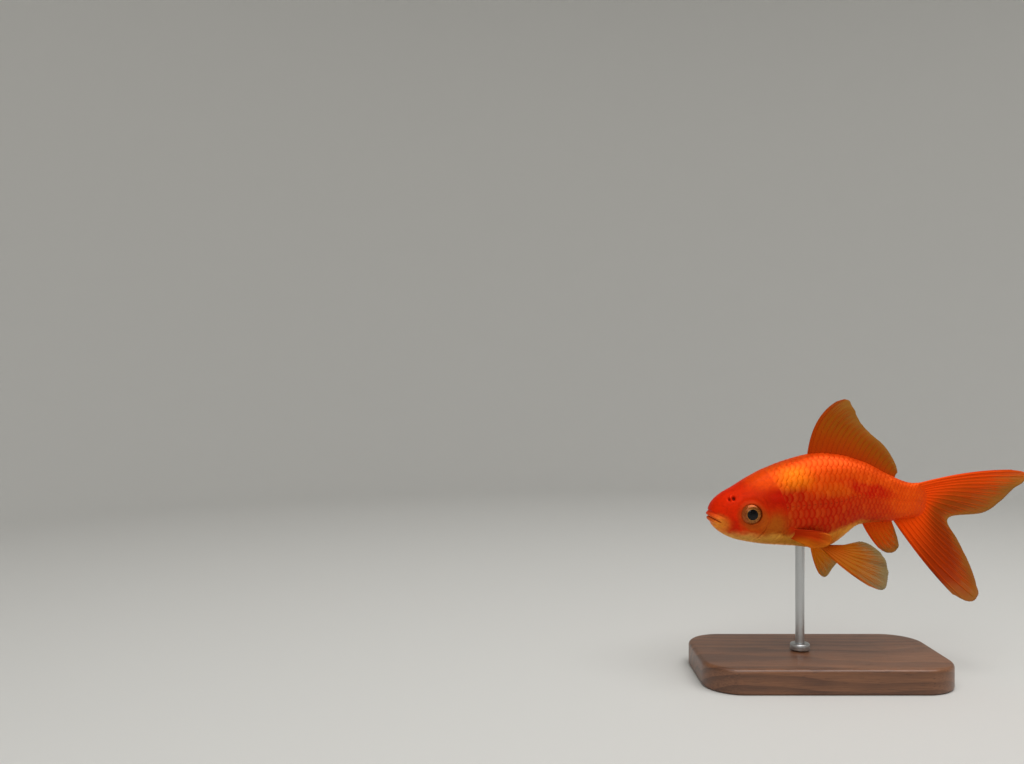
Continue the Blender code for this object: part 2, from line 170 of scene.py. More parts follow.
# Colours are three numbers of 0 to 255. These are the coat's, on skin and scales alike.
COAT = {
    "back": (238, 72, 3), "flank": (208, 42, 3), "painted low flank shade": (170, 42, 3),
    "stalk": (252, 78, 4), "head": (234, 39, 2), "deep red": (194, 18, 1),
    "rear band": (216, 22, 1), "painted highlight": (228, 88, 6), "gold": (250, 132, 8),
    "cheek": (184, 98, 22), "throat": (250, 188, 92), "belly": (234, 164, 60),
    "chin": (250, 156, 50), "lips": (232, 72, 32), "painted eye socket shade": (172, 68, 18),
}
# The coat's patches: the middle, along and up, the reach each way, and how soft it is.
PATCHES = {
    "red nape": ((18.4, 4.5), (5.0, 2.8), 0.5), "red flank": ((27.0, 0.4), (8.5, 4.2), 0.5),
    "red snout": ((4.6, -3.0), (2.6, 2.0), 0.5), "painted highlight": ((30.4, 6.2), (3.4, 1.4), 0.7),
    "painted nape sheen": ((20.4, 8.9), (3.3, 2.5), 0.7), "cheek": ((15.2, -3.0), (3.4, 3.4), 0.6),
    "under eye": ((10.8, -1.6), (3.2, 3.0), 0.5), "chin": ((1.4, -2.6), (2.6, 1.9), 0.8),
    "lips": ((0.7, -1.1), (1.8, 1.2), 0.7),
}
REAR_BAND, REAR_BAND_REACH, REAR_BAND_TILT = (38.6, 6.3), (6.6, 1.5), 0.26
EYE_SHADE_RADIUS = 3.2
WARM_SHEEN = (1.0, 0.52, 0.2, 1.0)  # light that the silvery layer under the skin tints

# The eye's colours, then where its pupil ends and its ring and rim lie, in millimetres
# from its middle.
IRIS = {
    "dark": (108, 58, 20), "light": (176, 108, 44), "top": (130, 56, 16),
    "front": (150, 54, 12), "rim": (180, 84, 28), "ring": (186, 124, 54), "pupil": (6, 5, 6),
}
PUPIL_RADIUS, RING_RADIUS, RIM_RADIUS = 1.28, 1.4, 1.8

# A fin's colours: at its root, middle and margin, how far its strong front edge runs, as
# a share of the fin, and how clear its margin is. Then come shades: a share of the fin,
# how far the shade runs each way, how strong it is, and its colour.
FIN_COLOURS = {
    "dorsal fin": ((176, 58, 3), (156, 78, 8), (160, 104, 34), 0.08, 0.14, ()),
    "anal fin": ((240, 76, 4), (202, 84, 8), (152, 96, 28), 0.12, 0.16, ()),
    "tail fin": (
        (252, 78, 4), (218, 74, 5), (168, 106, 30), 0.12, 0.16,
        # The second tint darkens the lower lobe: painted shade, as that lobe gets less light.
        ((0.5, 0.36, 0.7, (128, 66, 12)), (0.84, 0.5, 0.85, (146, 40, 3))),
    ),
    "left pelvic fin": ((186, 80, 5), (170, 96, 12), (134, 110, 58), 0.1, 0.3, ()),
    # The right pelvic fin lies on the far side in shade; it is painted lighter than the left to
    # make up for it, which is painted light.
    "right pelvic fin": ((250, 128, 8), (238, 142, 20), (200, 152, 60), 0.1, 0.2, ()),
    "pectoral fins": (
        (186, 38, 3), (206, 60, 6), (214, 112, 26), 0.1, 0.25,
        ((1.0, 0.6, 0.8, (200, 114, 16)),),
    ),
}
WEB_THICKNESS = 0.11  # at the root; the margin has three tenths of it
RAY_SIDES = 6

# The stand.
ROUND_SIDES = 96  # of the eyes, the rod, the collar and the floor
BASE_CORNER, BASE_CORNER_SIDES, BASE_EDGE = 9.0, 24, 1.0
ROD_CHAMFER, ROD_CLEARANCE = 0.15, 0.03

# The studio, in metres from the middle of the base's underside. A light's rows are its
# place, what it points at, its two sides, and its power in watts.
CAMERA_PLACE, CAMERA_LENS = (-0.0753, -0.248, 0.07245), 35.1984375
LIGHTS = {
    "overhead": ((0.08, -0.13, 0.5), (0.0, 0.0, 0.035), (0.55, 0.4), 2.3),
    "front": ((-0.17, -0.36, 0.3), (0.0, 0.0, 0.045), (0.22, 0.22), 0.26),
}
ROOM_LIGHT, ROOM_STRENGTH = (0.98, 0.97, 0.95, 1.0), 0.235
FLOOR_COLOUR = (214, 213, 209)
FLOOR_REACH, WALL_BEND, WALL_TOP = 420.0, 260.0, 900.0  # in millimetres


# ---------------------------------------------------------------- node trees


class Link:
    """A value in a node tree. Arithmetic with it adds Math nodes."""

    def __init__(self, tree, socket):
        self.tree, self.socket = tree, socket

    def __add__(self, other):
        return self.tree.math("ADD", self, other)

    def __sub__(self, other):
        return self.tree.math("SUBTRACT", self, other)

    def __rsub__(self, other):
        return self.tree.math("SUBTRACT", other, self)

    def __mul__(self, other):
        return self.tree.math("MULTIPLY", self, other)

    def __truediv__(self, other):
        return self.tree.math("DIVIDE", self, other)

    def __abs__(self):
        return self.tree.math("ABSOLUTE", self)

    __radd__, __rmul__ = __add__, __mul__


class Tree:
    """A node tree that is built by calls. Each call adds one node or a few."""

    def __init__(self, nodes):
        self.nodes = nodes

    def add(self, kind, settings=None, inputs=None, out=0):
        """Adds a node, sets it up, then fills its sockets with values or links."""
        node = self.nodes.nodes.new(kind)
        for name, value in (settings or {}).items():
            setattr(node, name, value)
        for key, value in (inputs or {}).items():
            if isinstance(value, Link):
                self.nodes.links.new(value.socket, node.inputs[key])
            else:
                node.inputs[key].default_value = value
        return Link(self, node.outputs[out]) if len(node.outputs) else node

    def other(self, link, out):
        """Another output of the node that gives a link."""
        return Link(self, link.socket.node.outputs[out])

    def math(self, operation, *values):
        inputs = dict(enumerate(values))
        return self.add("ShaderNodeMath", {"operation": operation}, inputs)

    def larger(self, first, second):
        return self.math("MAXIMUM", first, second)

    def length(self, x, y):
        return self.math("SQRT", x * x + y * y)

    def ramp(self, value, low, high):
        """0 below low and 1 above high, with a smooth rise between them."""
        inputs = {0: value, 1: low, 2: high, 3: 0.0, 4: 1.0}
        return self.add("ShaderNodeMapRange", {"interpolation_type": "SMOOTHSTEP"}, inputs)

    def fall(self, value, low, high):
        """1 below low and 0 above high."""
        return 1 - self.ramp(value, low, high)

    def spot(self, across, up, centre, radii, soft=0.5):
        """1 inside an ellipse and 0 outside it, with a soft edge."""
        x = (across - centre[0]) / radii[0]
        y = (up - centre[1]) / radii[1]
        return self.fall(self.length(x, y), 1 - soft, 1 + soft)

    def mix(self, factor, first, second):
        """A colour between two."""
        settings = {"data_type": "RGBA", "clamp_factor": True}
        inputs = {0: factor, 6: rgba(first), 7: rgba(second)}
        return self.add("ShaderNodeMix", settings, inputs, 2)

    def split(self, vector):
        """A vector's three numbers."""
        first = self.add("ShaderNodeSeparateXYZ", {}, {0: vector})
        return first, self.other(first, 1), self.other(first, 2)

    def join(self, x, y, z=0.0):
        """A vector from three numbers."""
        return self.add("ShaderNodeCombineXYZ", {}, {0: x, 1: y, 2: z})

    def vector_math(self, operation, first, second):
        return self.add("ShaderNodeVectorMath", {"operation": operation}, {0: first, 1: second})

    def scale(self, vector, factor):
        inputs = {0: vector, "Scale": factor}
        return self.add("ShaderNodeVectorMath", {"operation": "SCALE"}, inputs)

    def object_place(self):
        """The place on the piece, in metres."""
        return self.add("ShaderNodeTexCoord", out=3)

    def noise(self, place, scale, detail=3.0, roughness=0.5, out=0):
        inputs = {"Vector": place, "Scale": scale, "Detail": detail, "Roughness": roughness}
        return self.add("ShaderNodeTexNoise", {}, inputs, out)

    def stretched_noise(self, place, stretch, detail, roughness=0.5):
        """Noise with a scale of its own along each axis."""
        return self.noise(self.vector_math("MULTIPLY", place, stretch), 1.0, detail, roughness)

    def bump(self, strength, distance, height):
        inputs = {"Strength": strength, "Distance": distance, "Height": height}
        return self.add("ShaderNodeBump", {}, inputs)

    def attribute(self, name, out=2):
        """A number that the mesh carries, in a material. Output 1 is a vector."""
        return self.add("ShaderNodeAttribute", {"attribute_name": name}, {}, out)

    # What follows is for geometry nodes.

    def interface(self, **kinds):
        """Named inputs for the tree, as links, and its one output."""
        self.nodes.interface.new_socket("Shape", in_out="OUTPUT", socket_type="NodeSocketGeometry")
        for name, kind in kinds.items():
            self.nodes.interface.new_socket(name, in_out="INPUT", socket_type=f"NodeSocket{kind}")
        node = self.nodes.nodes.new("NodeGroupInput")
        return {name: Link(self, node.outputs[name]) for name in kinds}

    def shape_of(self, given):
        """The mesh of an object that is an input of the tree."""
        return self.add("GeometryNodeObjectInfo", {}, {"Object": given}, 4)

    def named(self, name, kind="FLOAT"):
        """A number or vector that the mesh carries."""
        return self.add("GeometryNodeInputNamedAttribute", {"data_type": kind}, {0: name})

    def store(self, shape, name, value, kind="FLOAT", domain="POINT"):
        settings = {"data_type": kind, "domain": domain}
        return self.add("GeometryNodeStoreNamedAttribute", settings, {0: shape, 2: name, 3: value})

    def end(self, shape, material):
        """Closes the tree: plain geometry with its material."""
        shape = self.add("GeometryNodeRealizeInstances", {}, {0: shape})
        shape = self.add("GeometryNodeSetMaterial", {}, {0: shape, 2: material})
        self.add("NodeGroupOutput", {}, {0: shape})

    def chart_place(self, place):
        """A place on the scales' chart as a place on the bed's map."""
        share = (1 / CHART_COLUMNS, 1 / CHART_ROWS, 0.0)
        shared = self.vector_math("MULTIPLY", place, share)
        return self.vector_math("ADD", shared, (0.0, 0.5, 0.0))

    def on_bed(self, bed, value, place, kind="FLOAT"):
        """A value of the bed's surface at a place on its map."""
        chart = self.named("chart", "FLOAT_VECTOR")
        inputs = {0: bed, 1: value, 2: chart, 3: place}
        return self.add("GeometryNodeSampleUVSurface", {"data_type": kind}, inputs)


def rgba(colour):
    """A colour's socket value from its three sRGB numbers of 0 to 255."""
    if isinstance(colour, Link):
        return colour
    parts = [c / 255 for c in colour]
    return [c / 12.92 if c <= 0.04045 else ((c + 0.055) / 1.055) ** 2.4 for c in parts] + [1.0]


def finish(name):
    """An empty material: its tree, and a call that gives it its surface."""
    made = bpy.data.materials.new(name)
    made.use_nodes = True
    made.node_tree.nodes.clear()
    tree = Tree(made.node_tree)

    def surface(inputs):
        shader = tree.add("ShaderNodeBsdfPrincipled", {}, inputs)
        tree.add("ShaderNodeOutputMaterial", {}, {"Surface": shader})
        return made

    return tree, surface


def fish_place(tree):
    """The place on the fish, in millimetres from the lip, as a vector."""
    scaled = tree.scale(tree.object_place(), 1 / MM)
    return tree.vector_math("SUBTRACT", scaled, tuple(LIP))


# ---------------------------------------------------------------- pieces and boxes


def link_new(name, data):
    """A new object in the scene."""
    made = bpy.data.objects.new(name, data)
    bpy.context.scene.collection.objects.link(made)
    return made


def add_piece(name, mesh, material, slot, *nodes):
    """Links a finished piece: it rides on the part and stands for these solids."""
    made = link_new(name, mesh)
    mesh.materials.clear()
    mesh.materials.append(material)
    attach(made, "root")
    if nodes:
        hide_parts(*nodes)


def box_of(node):
    """A solid's lowest and highest corners, in millimetres."""
    return [np.array(corner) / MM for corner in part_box(node)]


def full_turn(sides):
    """Evenly spaced angles round a circle."""
    return np.arange(sides) * 2 * math.pi / sides


def carry(mesh, name, values):
    """Gives every point of a mesh a number."""
    layer = mesh.attributes.new(name, "FLOAT", "POINT")
    layer.data.foreach_set("value", values)


def outward(mesh, merge=0.0):
    """Turns a closed mesh's faces outward, after merging points that lie together."""
    shape = bmesh.new()
    shape.from_mesh(mesh)
    if merge:
        bmesh.ops.remove_doubles(shape, verts=shape.verts, dist=merge)
    bmesh.ops.recalc_face_normals(shape, faces=shape.faces)
    shape.to_mesh(mesh)
    shape.free()


def grown_by(name, group, helpers, **values):
    """The plain mesh that a geometry tree makes from helper meshes and other inputs."""
    helpers = {word: link_new(word, mesh) for word, mesh in helpers.items()}
    holder = link_new(name, bpy.data.meshes.new(name))
    step = holder.modifiers.new(group.name, "NODES")
    step.node_group = group
    values = helpers | values
    for item in group.interface.items_tree:
        if item.in_out == "INPUT":
            step[item.identifier] = values[item.name]
    graph = bpy.context.evaluated_depsgraph_get()
    made = bpy.data.meshes.new_from_object(
        holder.evaluated_get(graph), preserve_all_data_layers=True, depsgraph=graph
    )
    for used in (holder, *helpers.values()):
        bpy.data.objects.remove(used)
    made.name = name
    return made


# ---------------------------------------------------------------- the body's shape


def smooth_curve(rows):
    """A function of the rows' first column that runs smoothly through the others."""
    rows = np.array(rows, float)
    places, values = rows[:, 0], rows[:, 1:]
    steps = np.diff(places)[:, None]
    slopes = np.diff(values, axis=0) / steps
    inner = (steps[1:] * slopes[:-1] + steps[:-1] * slopes[1:]) / (steps[1:] + steps[:-1])
    tangents = np.concatenate([slopes[:1], inner, slopes[-1:]])

    def value(place):
        place = np.clip(np.asarray(place, float), places[0], places[-1])
        i = np.clip(np.searchsorted(places, place) - 1, 0, len(steps) - 1)
        u = ((place - places[i]) / steps[i, 0])[..., None]
        return (
            (2 * u**3 - 3 * u**2 + 1) * values[i]
            + (u**3 - 2 * u**2 + u) * steps[i] * tangents[i]
            + (3 * u**2 - 2 * u**3) * values[i + 1]
            + (u**3 - u**2) * steps[i] * tangents[i + 1]
        )

    return value


profile_at_root = smooth_curve([(math.sqrt(s[0]), *s[1:]) for s in BODY_STATIONS])
tail_root_at_height = smooth_curve([(r[3], r[1]) for r in reversed(TAIL_ROOT)])


def rise(value, low, high):
    """0 below low and 1 above high, with a smooth rise between them."""
    share = np.clip((value - low) / (high - low), 0.0, 1.0)
    return share * share * (3 - 2 * share)


def fall(value, low, high):
    """1 below low and 0 above high."""
    return 1 - rise(value, low, high)


def apart(across, up, place, size):
    """How far off a place is, squared, in units of a size each way."""
    return ((across - place[0]) / size[0]) ** 2 + ((up - place[1]) / size[1]) ** 2


def ridge(distance, width):
    """A rounded ridge of height 1 along a line."""
    return np.exp(-((distance / width) ** 2))


def spine(along):
    share = np.maximum(0.0, (along - SWAY_START) / (SWAY_END - SWAY_START))
    return SPINE_SWAY * share**2


def past_tail_root(points):
    """How far behind the tail's root each point lies."""
    return points[..., 0] - tail_root_at_height(points[..., 2])[..., 0]


def neck_at(height):
    """How far along the body the head ends at a height."""
    bend = np.where(height > GILL_LEVEL, NECK_BEND_UP, NECK_BEND_DOWN)
    return GILL_REAR - bend * (height - GILL_LEVEL) ** 2


def body_surface(along, turn):
    """Points of the smooth body. A turn of 0 is the back, and -pi and pi the belly."""
    back, belly, level, half = np.moveaxis(profile_at_root(np.sqrt(along)), -1, 0)
    side, up = np.sin(turn), np.cos(turn)
    power = np.where(up > 0, 2 / UPPER_ROUNDNESS, 2 / LOWER_ROUNDNESS)
    reach = np.where(up > 0, back - level, level - belly)
    out = np.sign(side) * np.abs(side) ** power * half
    height = level + np.sign(up) * np.abs(up) ** power * reach
    # Behind the tail's root the flesh thins away between the fin's rays.
    behind = along - tail_root_at_height(height)[..., 0]
    out = out * (1 - 0.86 * rise(behind, THINNING_START, 0.9))
    out = out * (1 - 0.8 * rise(behind, 0.1, 1.6))
    # It ends just behind the root, however far back the section lies.
    past = np.maximum(behind, 0.0)
    along = along - past + past / (1 + past / 0.9)
    return np.stack([along, spine(along) + out, height], axis=-1)


def grid_normals(points):
    """Unit normals of a grid of points whose second index runs round the body."""
    down = np.gradient(points, axis=0)
    round_ = np.gradient(points, axis=1)
    normals = np.cross(down, round_)
    length = np.linalg.norm(normals, axis=-1, keepdims=True)
    return normals / np.maximum(length, 1e-9)


def grid_mesh(name, points, closed=False, tip=None, end=None, uv=None, uv_name="OFBake"):
    """A mesh of quads over a grid of points. closed joins the last column to the
    first; tip and end close it with a fan. uv holds the map's places, with one column
    more than the points where the grid is closed."""
    rows, columns = points.shape[:2]
    verts = [points.reshape(-1, 3)]
    wide = columns if closed else columns - 1
    i, j = np.meshgrid(np.arange(rows - 1), np.arange(wide), indexing="ij")
    k = (j + 1) % columns
    near, far = i * columns, (i + 1) * columns
    quads = np.stack([near + j, far + j, far + k, near + k], axis=-1)
    faces = quads.reshape(-1, 4).tolist()
    corners = []
    if uv is not None:
        around = [uv[i, j], uv[i + 1, j], uv[i + 1, j + 1], uv[i, j + 1]]
        corners.append(np.stack(around, axis=-2).reshape(-1, 2))
    for point, row, turned in ((tip, 0, False), (end, rows - 1, True)):
        if point is None:
            continue
        centre = sum(len(v) for v in verts)
        verts.append(np.array([point], float))
        for a in range(wide):
            corner = [row * columns + a, row * columns + (a + 1) % columns, centre]
            faces.append(corner[::-1] if turned else corner)
            if uv is not None:
                places = [uv[row, a], uv[row, a + 1], (uv[row, a] + uv[row, a + 1]) / 2]
                corners.append(np.array(places[::-1] if turned else places))
    mesh = bpy.data.meshes.new(name)
    places = (np.concatenate(verts) + LIP) * MM
    mesh.from_pydata(places.tolist(), [], faces)
    if uv is not None:
        layer = mesh.uv_layers.new(name=uv_name)
        layer.data.foreach_set("uv", np.concatenate(corners).ravel())
    mesh.shade_smooth()
    return mesh


# ---------------------------------------------------------------- skin and scales


def mouth_line(along):
    """The height of the mouth's slit at a place along the head."""
    return MOUTH_LEVEL + MOUTH_SLOPE * along


def gill_relief(along, up, behind):
    """The gill cover, a plate with a raised edge and fine ribs, and the bone before it."""
    gap = along - neck_at(up)
    cover = rise(along, 13.4, 16.4) * rise(up, -7.4, -5.6) * fall(up, 3.6, 5.6)
    relief = 0.20 * cover * (1 - behind)
    relief -= 0.10 * ridge(gap + 0.75, 0.2) * cover
    relief -= 0.12 * ridge(gap - 0.3, 0.22) * rise(up, -7.6, -6.0)
    # The ribs fan out from the cover's upper front corner.
    ribs = np.sin(np.arctan2(up - 2.6, along - 13.2) * 58.0 + 1.5 * np.sin(along * 1.7))
    relief += 0.022 * ribs * cover * (1 - behind) * rise(along, 14.4, 15.6)
    # The bone is bent like an L, with a seam along its foot.
    bend = np.where(up > -0.5, 0.055, 0.085)
    bone = along - (14.0 - bend * (up + 0.5) ** 2)
    length = rise(up, -7.0, -6.2) * fall(up, 3.4, 4.6)
    relief += length * (0.09 * ridge(bone + 0.62, 0.5) - 0.14 * ridge(bone, 0.2))
    foot = up - (-4.7 + 0.24 * (along - 14.0))
    return relief - 0.07 * ridge(foot, 0.16) * rise(along, 14.2, 14.9) * (1 - behind)


def eye_relief(along, up):
    """The eye's socket, its rim and the fold round it, and the cheek below."""
    eye = np.hypot(along - EYE_PLACE[0], up - EYE_PLACE[2])
    relief = -0.95 * fall(eye, 2.16, 2.42)
    relief += 0.1 * ridge(eye - 2.66, 0.24) - 0.06 * ridge(eye - 3.55, 0.35)
    return relief + 0.10 * np.exp(-apart(along, up, (8.6, -3.6), (2.2, 1.0)))


def nostril_relief(along, up):
    """Two pits on each side, with a flap of skin between them."""
    relief = FLAP_HEIGHT * np.exp(-apart(along, up, NOSTRIL_FLAP, FLAP_SIZE))
    for x, z, wide, high, depth in NOSTRILS:
        relief -= depth * np.exp(-apart(along, up, (x, z), (wide, high)) ** 2)
    return relief


def mouth_relief(along, up):
    """A slit between two lips, and the folds behind them."""
    above = up - mouth_line(along)
    lips = 0.24 * ridge(above - 0.58, 0.36) + 0.2 * ridge(above + 0.55, 0.38)
    relief = (lips - MOUTH_DEPTH * ridge(above, MOUTH_WIDTH)) * fall(along, 2.45, 3.1)
    relief -= 0.2 * ridge(above - 1.38 - 0.1 * along, 0.24) * fall(along, 3.4, 4.4)
    relief -= 0.12 * ridge(above + 1.3, 0.28) * fall(along, 2.4, 3.7)
    slanted = along - 0.3 * (above - 0.2)
    relief -= 0.16 * np.exp(-apart(slanted, above, (3.6, 0.2), (0.3, 1.1)))
    return relief + 0.1 * np.exp(-apart(along, above, (4.35, 0.2), (0.5, 1.3)))


def fin_base_relief(along, side, up, behind):
    """The low fleshy bases that the pelvic and pectoral fins grow from."""
    pelvic = apart(along, side, (27.8, 2.5), (2.2, 1.0))
    slanted = along - 0.15 * (up + 4.3)
    pectoral = apart(slanted, up, (19.3, -4.3), (1.15, 1.5))
    return 0.5 * np.exp(-pelvic) * fall(up, -7.3, -5.8) + 0.5 * np.exp(-(pectoral**2)) * behind


def skin_relief(along, out, up):
    """How far the skin stands out from the smooth body."""
    side = np.abs(out)
    behind = rise(along - neck_at(up), 0.0, 0.16)
    relief = -SCALE_DEPTH * behind - 0.02 * (1 - behind)
    relief += gill_relief(along, up, behind) + eye_relief(along, up)
    relief += nostril_relief(along, up) + mouth_relief(along, up)
    relief += fin_base_relief(along, side, up, behind)
    # Pores of the sense canals, round the eye, over the brow and down the cheek.
    for x, z in SENSE_PORES:
        pore = np.hypot(along - x, up - z)
        relief += 0.03 * ridge(pore - 0.22, 0.09) - 0.09 * ridge(pore, 0.12)
    # The gill covers' edges meet under the throat.
    seam = side - (0.25 + 0.2 * (along - 6.5))
    throat = fall(up, -5.6, -4.6) * rise(along, 6.3, 7.4) * (1 - behind)
    return relief - 0.14 * ridge(seam, 0.16) * throat


def ring_places(first, last, step):
    return np.arange(first, last + step / 2, step)


def body_grid(along, turns):
    """The smooth body over a grid of places along it and turns round it."""
    along, turns = np.meshgrid(along, turns, indexing="ij")
    points = body_surface(along, turns)
    return points, grid_normals(points)


def make_skin():
    """One skin over head, trunk and tail stalk."""
    # The rings lie closest at the lips, and closer over the head than behind it.
    lips = np.linspace(0.05, 1.0, 30)[:-1] ** 2
    head, trunk = ring_places(1.0, 19.4, 0.1), ring_places(19.6, BODY_END, 0.42)
    along = np.concatenate([lips, head, trunk])
    turns = (np.arange(SKIN_SIDES + 1) / SKIN_SIDES * 2 - 1) * math.pi
    points, normals = body_grid(along, turns)
    normals[:, 0] = normals[:, -1] = (normals[:, 0] + normals[:, -1]) / 2
    out = points[..., 1] - spine(points[..., 0])
    relief = skin_relief(points[..., 0], out, points[..., 2])
    # Where the flesh thins away into the tail there is no depth to give up.
    relief *= fall(past_tail_root(points), THINNING_START, THINNING_END)
    skin = points + normals * relief[..., None]
    tip = np.array([skin[0, :-1, 0].mean() - 0.004, 0.0, skin[0, :-1, 2].mean()])
    end = skin[-1, :-1].mean(axis=0)
    share, turn = np.meshgrid(along / along[-1], turns / (2 * math.pi) + 0.5, indexing="ij")
    uv = np.stack([share, turn], axis=-1)
    mesh = grid_mesh("fish_skin", skin[:, :-1], closed=True, tip=tip, end=end, uv=uv)
    # Deep folds get painted shade. The mesh ends with its two closing points, which get none.
    hollow = np.clip(-(relief[:, :-1] + 0.2) / 0.4, 0, 1).ravel()
    carry(mesh, "hollow", np.append(hollow, [0.0, 0.0]))
    nodes = ["head", "upper_jaw", "lower_jaw", "gill_cover_left", "gill_cover_right"]
    add_piece("fish_skin", mesh, skin_finish(), "skin", *nodes, "trunk", "tail_stalk")


def scale_bed():
    """The surface that the scales lie on. Its map counts scales along and round the
    body, and its mask says where scales grow."""
    along = ring_places(CHART_START, BODY_END, 0.3)
    turns = np.linspace(-math.pi, math.pi, 721)
    points, _ = body_grid(along, turns)
    lengths = np.linalg.norm(np.diff(points, axis=1), axis=-1)
    girth = lengths.sum(axis=1)
    # The bed reaches a little past the belly's midline on both sides.
    rows = np.arange(-15.25, 15.26, 0.25)
    wanted = np.empty((len(along), len(rows)))
    for i, length in enumerate(lengths):
        row = np.append(0.0, np.cumsum(length)) / girth[i] * SCALE_ROWS - SCALE_ROWS / 2
        # The rows past the belly's midline start again from the other side.
        row = np.concatenate([row[:-1] - SCALE_ROWS, row[:-1], row + SCALE_ROWS])
        turn = np.concatenate([turns[:-1] - 2 * math.pi, turns[:-1], turns + 2 * math.pi])
        wanted[i] = np.interp(rows, row, turn)
    # A scale's share of the length shrinks with the body's girth.
    pitch = 0.55 + 0.38 * girth / SCALE_ROWS
    column = np.append(0.0, np.cumsum(np.diff(along) / ((pitch[1:] + pitch[:-1]) / 2)))
    points = body_surface(along[:, None] + 0 * wanted, wanted)
    behind = past_tail_root(points)
    depth = SCALE_DEPTH * fall(behind, THINNING_START, THINNING_END)
    bed = points - grid_normals(points) * depth[..., None]
    u = np.broadcast_to((column / CHART_COLUMNS)[:, None], wanted.shape)
    v = np.broadcast_to((rows / CHART_ROWS + 0.5)[None, :], wanted.shape)
    mesh = grid_mesh("scale_bed", bed, uv=np.stack([u, v], axis=-1), uv_name="chart")
    grown = (points[..., 0] > neck_at(points[..., 2]) - 0.7) & (behind < -1.3)
    carry(mesh, "grown", grown.astype(float).ravel())
    return mesh


def scale_blank():
    """One scale, flat: along in columns, across in rows, and its rise. It is closed,
    and its underside is bent with its top so that it fits a hollow of the body."""
    half, front, rear = 0.78, -1.3, 1.0
    across = np.array([-1, -0.9, -0.66, -0.34, 0, 0.34, 0.66, 0.9, 1]) * half
    lengthwise = np.array([0, 0.36, 0.66, 0.86, 0.96, 1])
    under = (2, 3)  # the rows that the underside keeps between its ends
    verts = []

    def corner(b, y, drop):
        start = front + 0.35 * (y / half) ** 4
        x = start + (rear - 1.2 * y * y - start) * b
        lift = (x - front) / (rear - front) * (1 - 0.22 * (y / half) ** 2)
        edge = 0.24 * (b == 1) + 0.07 * (b > 0.9) + 0.16 * (abs(y) > 0.77) * (b > 0)
        verts.append((x, y, lift - edge * lift - drop))
        return len(verts) - 1

    top = [[corner(b, y, 0.0) for y in across] for b in lengthwise]
    low = {0: top[0], len(top) - 1: top[-1]}
    for i in under:
        inner = [corner(lengthwise[i], y, 0.3) for y in across[1:-1]]
        low[i] = [top[i][0], *inner, top[i][-1]]
    faces = []
    for a, b in zip(top, top[1:]):
        faces += [(a[j], a[j + 1], b[j + 1], b[j]) for j in range(len(a) - 1)]
    levels = sorted(low)
    for start, end in zip(levels, levels[1:]):
        a, b, last = low[start], low[end], len(across) - 2
        for j in range(last + 1):
            left = [top[i][0] for i in range(start + 1, end)] if j == 0 else []
            right = [top[i][-1] for i in range(end - 1, start, -1)] if j == last else []
            faces.append((a[j], *left, b[j], b[j + 1], *right, a[j + 1]))
    mesh = bpy.data.meshes.new("scale_blank")
    mesh.from_pydata(verts, [], faces)
    outward(mesh)
    mesh.shade_smooth()
    return mesh


def scale_tree():
    """Geometry nodes: one scale at every place of the chart, laid on the bed."""
    group = bpy.data.node_groups.new("overlapping scales", "GeometryNodeTree")
    tree = Tree(group)
    given = tree.interface(
        Columns="Int", Rows="Int", Bed="Object", Blank="Object", Relief="Float", Patch="Float",
        Seed="Int", Finish="Material",
    )
    columns, rows, patch = given["Columns"], given["Rows"], given["Patch"]
    bed, blank = tree.shape_of(given["Bed"]), tree.shape_of(given["Blank"])
    size = {"Size X": columns - 1, "Size Y": rows - 1}
    count = {"Vertices X": columns, "Vertices Y": rows}
    shape = tree.add("GeometryNodeMeshGrid", {}, size | count)
    position = tree.add("GeometryNodeInputPosition")
    x, y, _ = tree.split(position)
    # Every other row starts half a scale further back. The grid is centred on 0.
    row = tree.math("ROUND", y + rows / 2 - 0.5)
    stagger = tree.math("MODULO", row, 2.0) * 0.5
    place = tree.join(x + columns / 2 + 0.5 + stagger, y + 0.5)
    # Each scale has a tone between -1 and 1.
    seeded = {2: -1.0, 3: 1.0, 8: given["Seed"]}
    tone = tree.add("FunctionNodeRandomValue", {"data_type": "FLOAT"}, seeded, 1)
    shape = tree.add("GeometryNodeSetPosition", {}, {0: shape, 2: place})
    shape = tree.store(shape, "tone", tone)
    shape = tree.store(shape, "root", position, "FLOAT_VECTOR")
    shape = tree.store(shape, "line", tree.fall(abs(abs(y) - SIDE_LINE_ROW), 0.1, 0.3))
    grown = tree.on_bed(bed, tree.named("grown"), tree.chart_place(position))
    bare = tree.math("LESS_THAN", grown, 0.5)
    shape = tree.add("GeometryNodeDeleteGeometry", {"domain": "POINT"}, {0: shape, 1: bare})
    shape = tree.add("GeometryNodeInstanceOnPoints", {}, {0: shape, 2: blank})
    shape = tree.add("GeometryNodeRealizeInstances", {}, {0: shape})
    # On the bake map each scale is a small patch at its root's place.
    root = tree.named("root", "FLOAT_VECTOR")
    local = tree.vector_math("SUBTRACT", position, root)
    shape = tree.store(shape, "local", local, "FLOAT_VECTOR")
    patch_size = tree.join(patch * (1 / CHART_COLUMNS), patch * (1 / CHART_ROWS))
    flat = tree.vector_math("MULTIPLY", tree.named("local", "FLOAT_VECTOR"), patch_size)
    baked = tree.vector_math("ADD", tree.chart_place(root), flat)
    shape = tree.store(shape, "OFBake", baked, "FLOAT2", "CORNER")
    # Every point goes to its place on the bed, and out along the bed's normal.
    chart_place = tree.chart_place(position)
    normal = tree.add("GeometryNodeInputNormal")
    surface = tree.on_bed(bed, position, chart_place, "FLOAT_VECTOR")
    outwards = tree.on_bed(bed, normal, chart_place, "FLOAT_VECTOR")
    _, _, z = tree.split(position)
    height = z * given["Relief"] * (1 + 0.2 * tree.named("tone"))
    there = tree.vector_math("ADD", surface, tree.scale(outwards, height))
    shape = tree.add("GeometryNodeSetPosition", {}, {0: shape, 2: there})
    tree.end(shape, given["Finish"])
    return group


